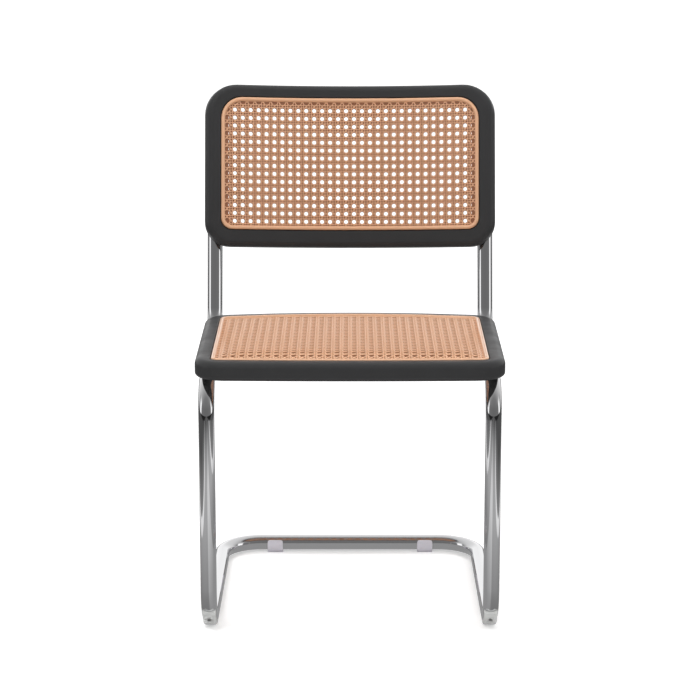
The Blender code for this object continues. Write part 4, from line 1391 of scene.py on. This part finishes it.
def stage():
    """The floor, the light and the camera, which stands as the photo's did."""
    lay_aside()
    bpy.ops.mesh.primitive_plane_add(size=24.0, location=(0, 0, 0))
    floor = bpy.context.object
    floor.name = "floor"
    floor.data.materials.append(background_material())
    studio_world()
    light("key_light", 1.6, 46.0, (-1.3, -2.2, 2.9), 0.45)
    light("fill_light", 1.4, 24.0, (1.7, -1.9, 2.3), 0.45)
    light("top_light", 1.8, 40.0, (0.0, 0.6, 3.0), 0.3)
    scene = bpy.context.scene
    bpy.ops.object.camera_add(location=(0.0, -4.1726, 1.434), rotation=(math.radians(76.0), 0, 0))
    camera = bpy.context.object
    camera.name = "camera"
    camera.data.lens = 137.31
    camera.data.sensor_width = 36.0
    camera.data.clip_end = 100.0
    scene.camera = camera
    scene.view_settings.view_transform = "Standard"


class CHAIR_OT_tube(Operator):
    """Bends the chromed tube and fits its plugs"""

    bl_idname = "chair.tube"
    bl_label = "Bent tube"

    def execute(self, context):
        tube_piece()
        plugs()
        return {"FINISHED"}


class CHAIR_OT_seat(Operator):
    """Makes the lacquered seat frame and its cane-look panel"""

    bl_idname = "chair.seat"
    bl_label = "Seat"

    def execute(self, context):
        seat_pieces()
        return {"FINISHED"}


class CHAIR_OT_back(Operator):
    """Makes the bowed back frame and its cane-look panel"""

    bl_idname = "chair.back"
    bl_label = "Back"

    def execute(self, context):
        back_pieces()
        return {"FINISHED"}


class CHAIR_OT_feet(Operator):
    """Makes the clear saddles and the white clips"""

    bl_idname = "chair.feet"
    bl_label = "Feet"

    def execute(self, context):
        for name, side in SIDES:
            saddle(name, side)
            clip(name, side)
        return {"FINISHED"}


class CHAIR_OT_fasteners(Operator):
    """Makes the screws and finishes the dowels"""

    bl_idname = "chair.fasteners"
    bl_label = "Screws and dowels"

    def execute(self, context):
        screws()
        dowels()
        return {"FINISHED"}


class CHAIR_OT_stage(Operator):
    """Sets the floor, the light and the camera"""

    bl_idname = "chair.stage"
    bl_label = "Stage"

    def execute(self, context):
        stage()
        return {"FINISHED"}


class CHAIR_PT_sidebar(Panel):
    """Lists the chair's pieces and sizes"""

    bl_label = "Cantilever chair"
    bl_space_type = "VIEW_3D"
    bl_region_type = "UI"
    bl_category = "Chair"

    def draw(self, context):
        layout = self.layout
        for operator in OPERATORS:
            layout.operator(operator.bl_idname)
        for key, group in GROUPS:
            box = layout.box()
            box.label(text=group.__doc__)
            for field in group.__annotations__:
                box.prop(getattr(context.scene, f"chair_{key}"), field)


OPERATORS = (
    CHAIR_OT_tube,
    CHAIR_OT_seat,
    CHAIR_OT_back,
    CHAIR_OT_feet,
    CHAIR_OT_fasteners,
    CHAIR_OT_stage,
)
GROUPS = (
    ("tube", TubeSizes),
    ("seat", SeatSizes),
    ("back", BackSizes),
    ("panels", PanelSizes),
    ("feet", FootSizes),
    ("finishes", Finishes),
)


def register():
    for key, group in GROUPS:
        bpy.utils.register_class(group)
        setattr(bpy.types.Scene, f"chair_{key}", PointerProperty(type=group))
    for item in OPERATORS + (CHAIR_PT_sidebar,):
        bpy.utils.register_class(item)


def unregister():
    for item in (CHAIR_PT_sidebar,) + OPERATORS[::-1]:
        bpy.utils.unregister_class(item)
    for key, group in GROUPS[::-1]:
        delattr(bpy.types.Scene, f"chair_{key}")
        bpy.utils.unregister_class(group)


def main():
    """Makes the whole chair."""
    register()
    for operator in OPERATORS:
        group, name = operator.bl_idname.split(".")
        getattr(getattr(bpy.ops, group), name)()


if __name__ == "__main__":
    main()
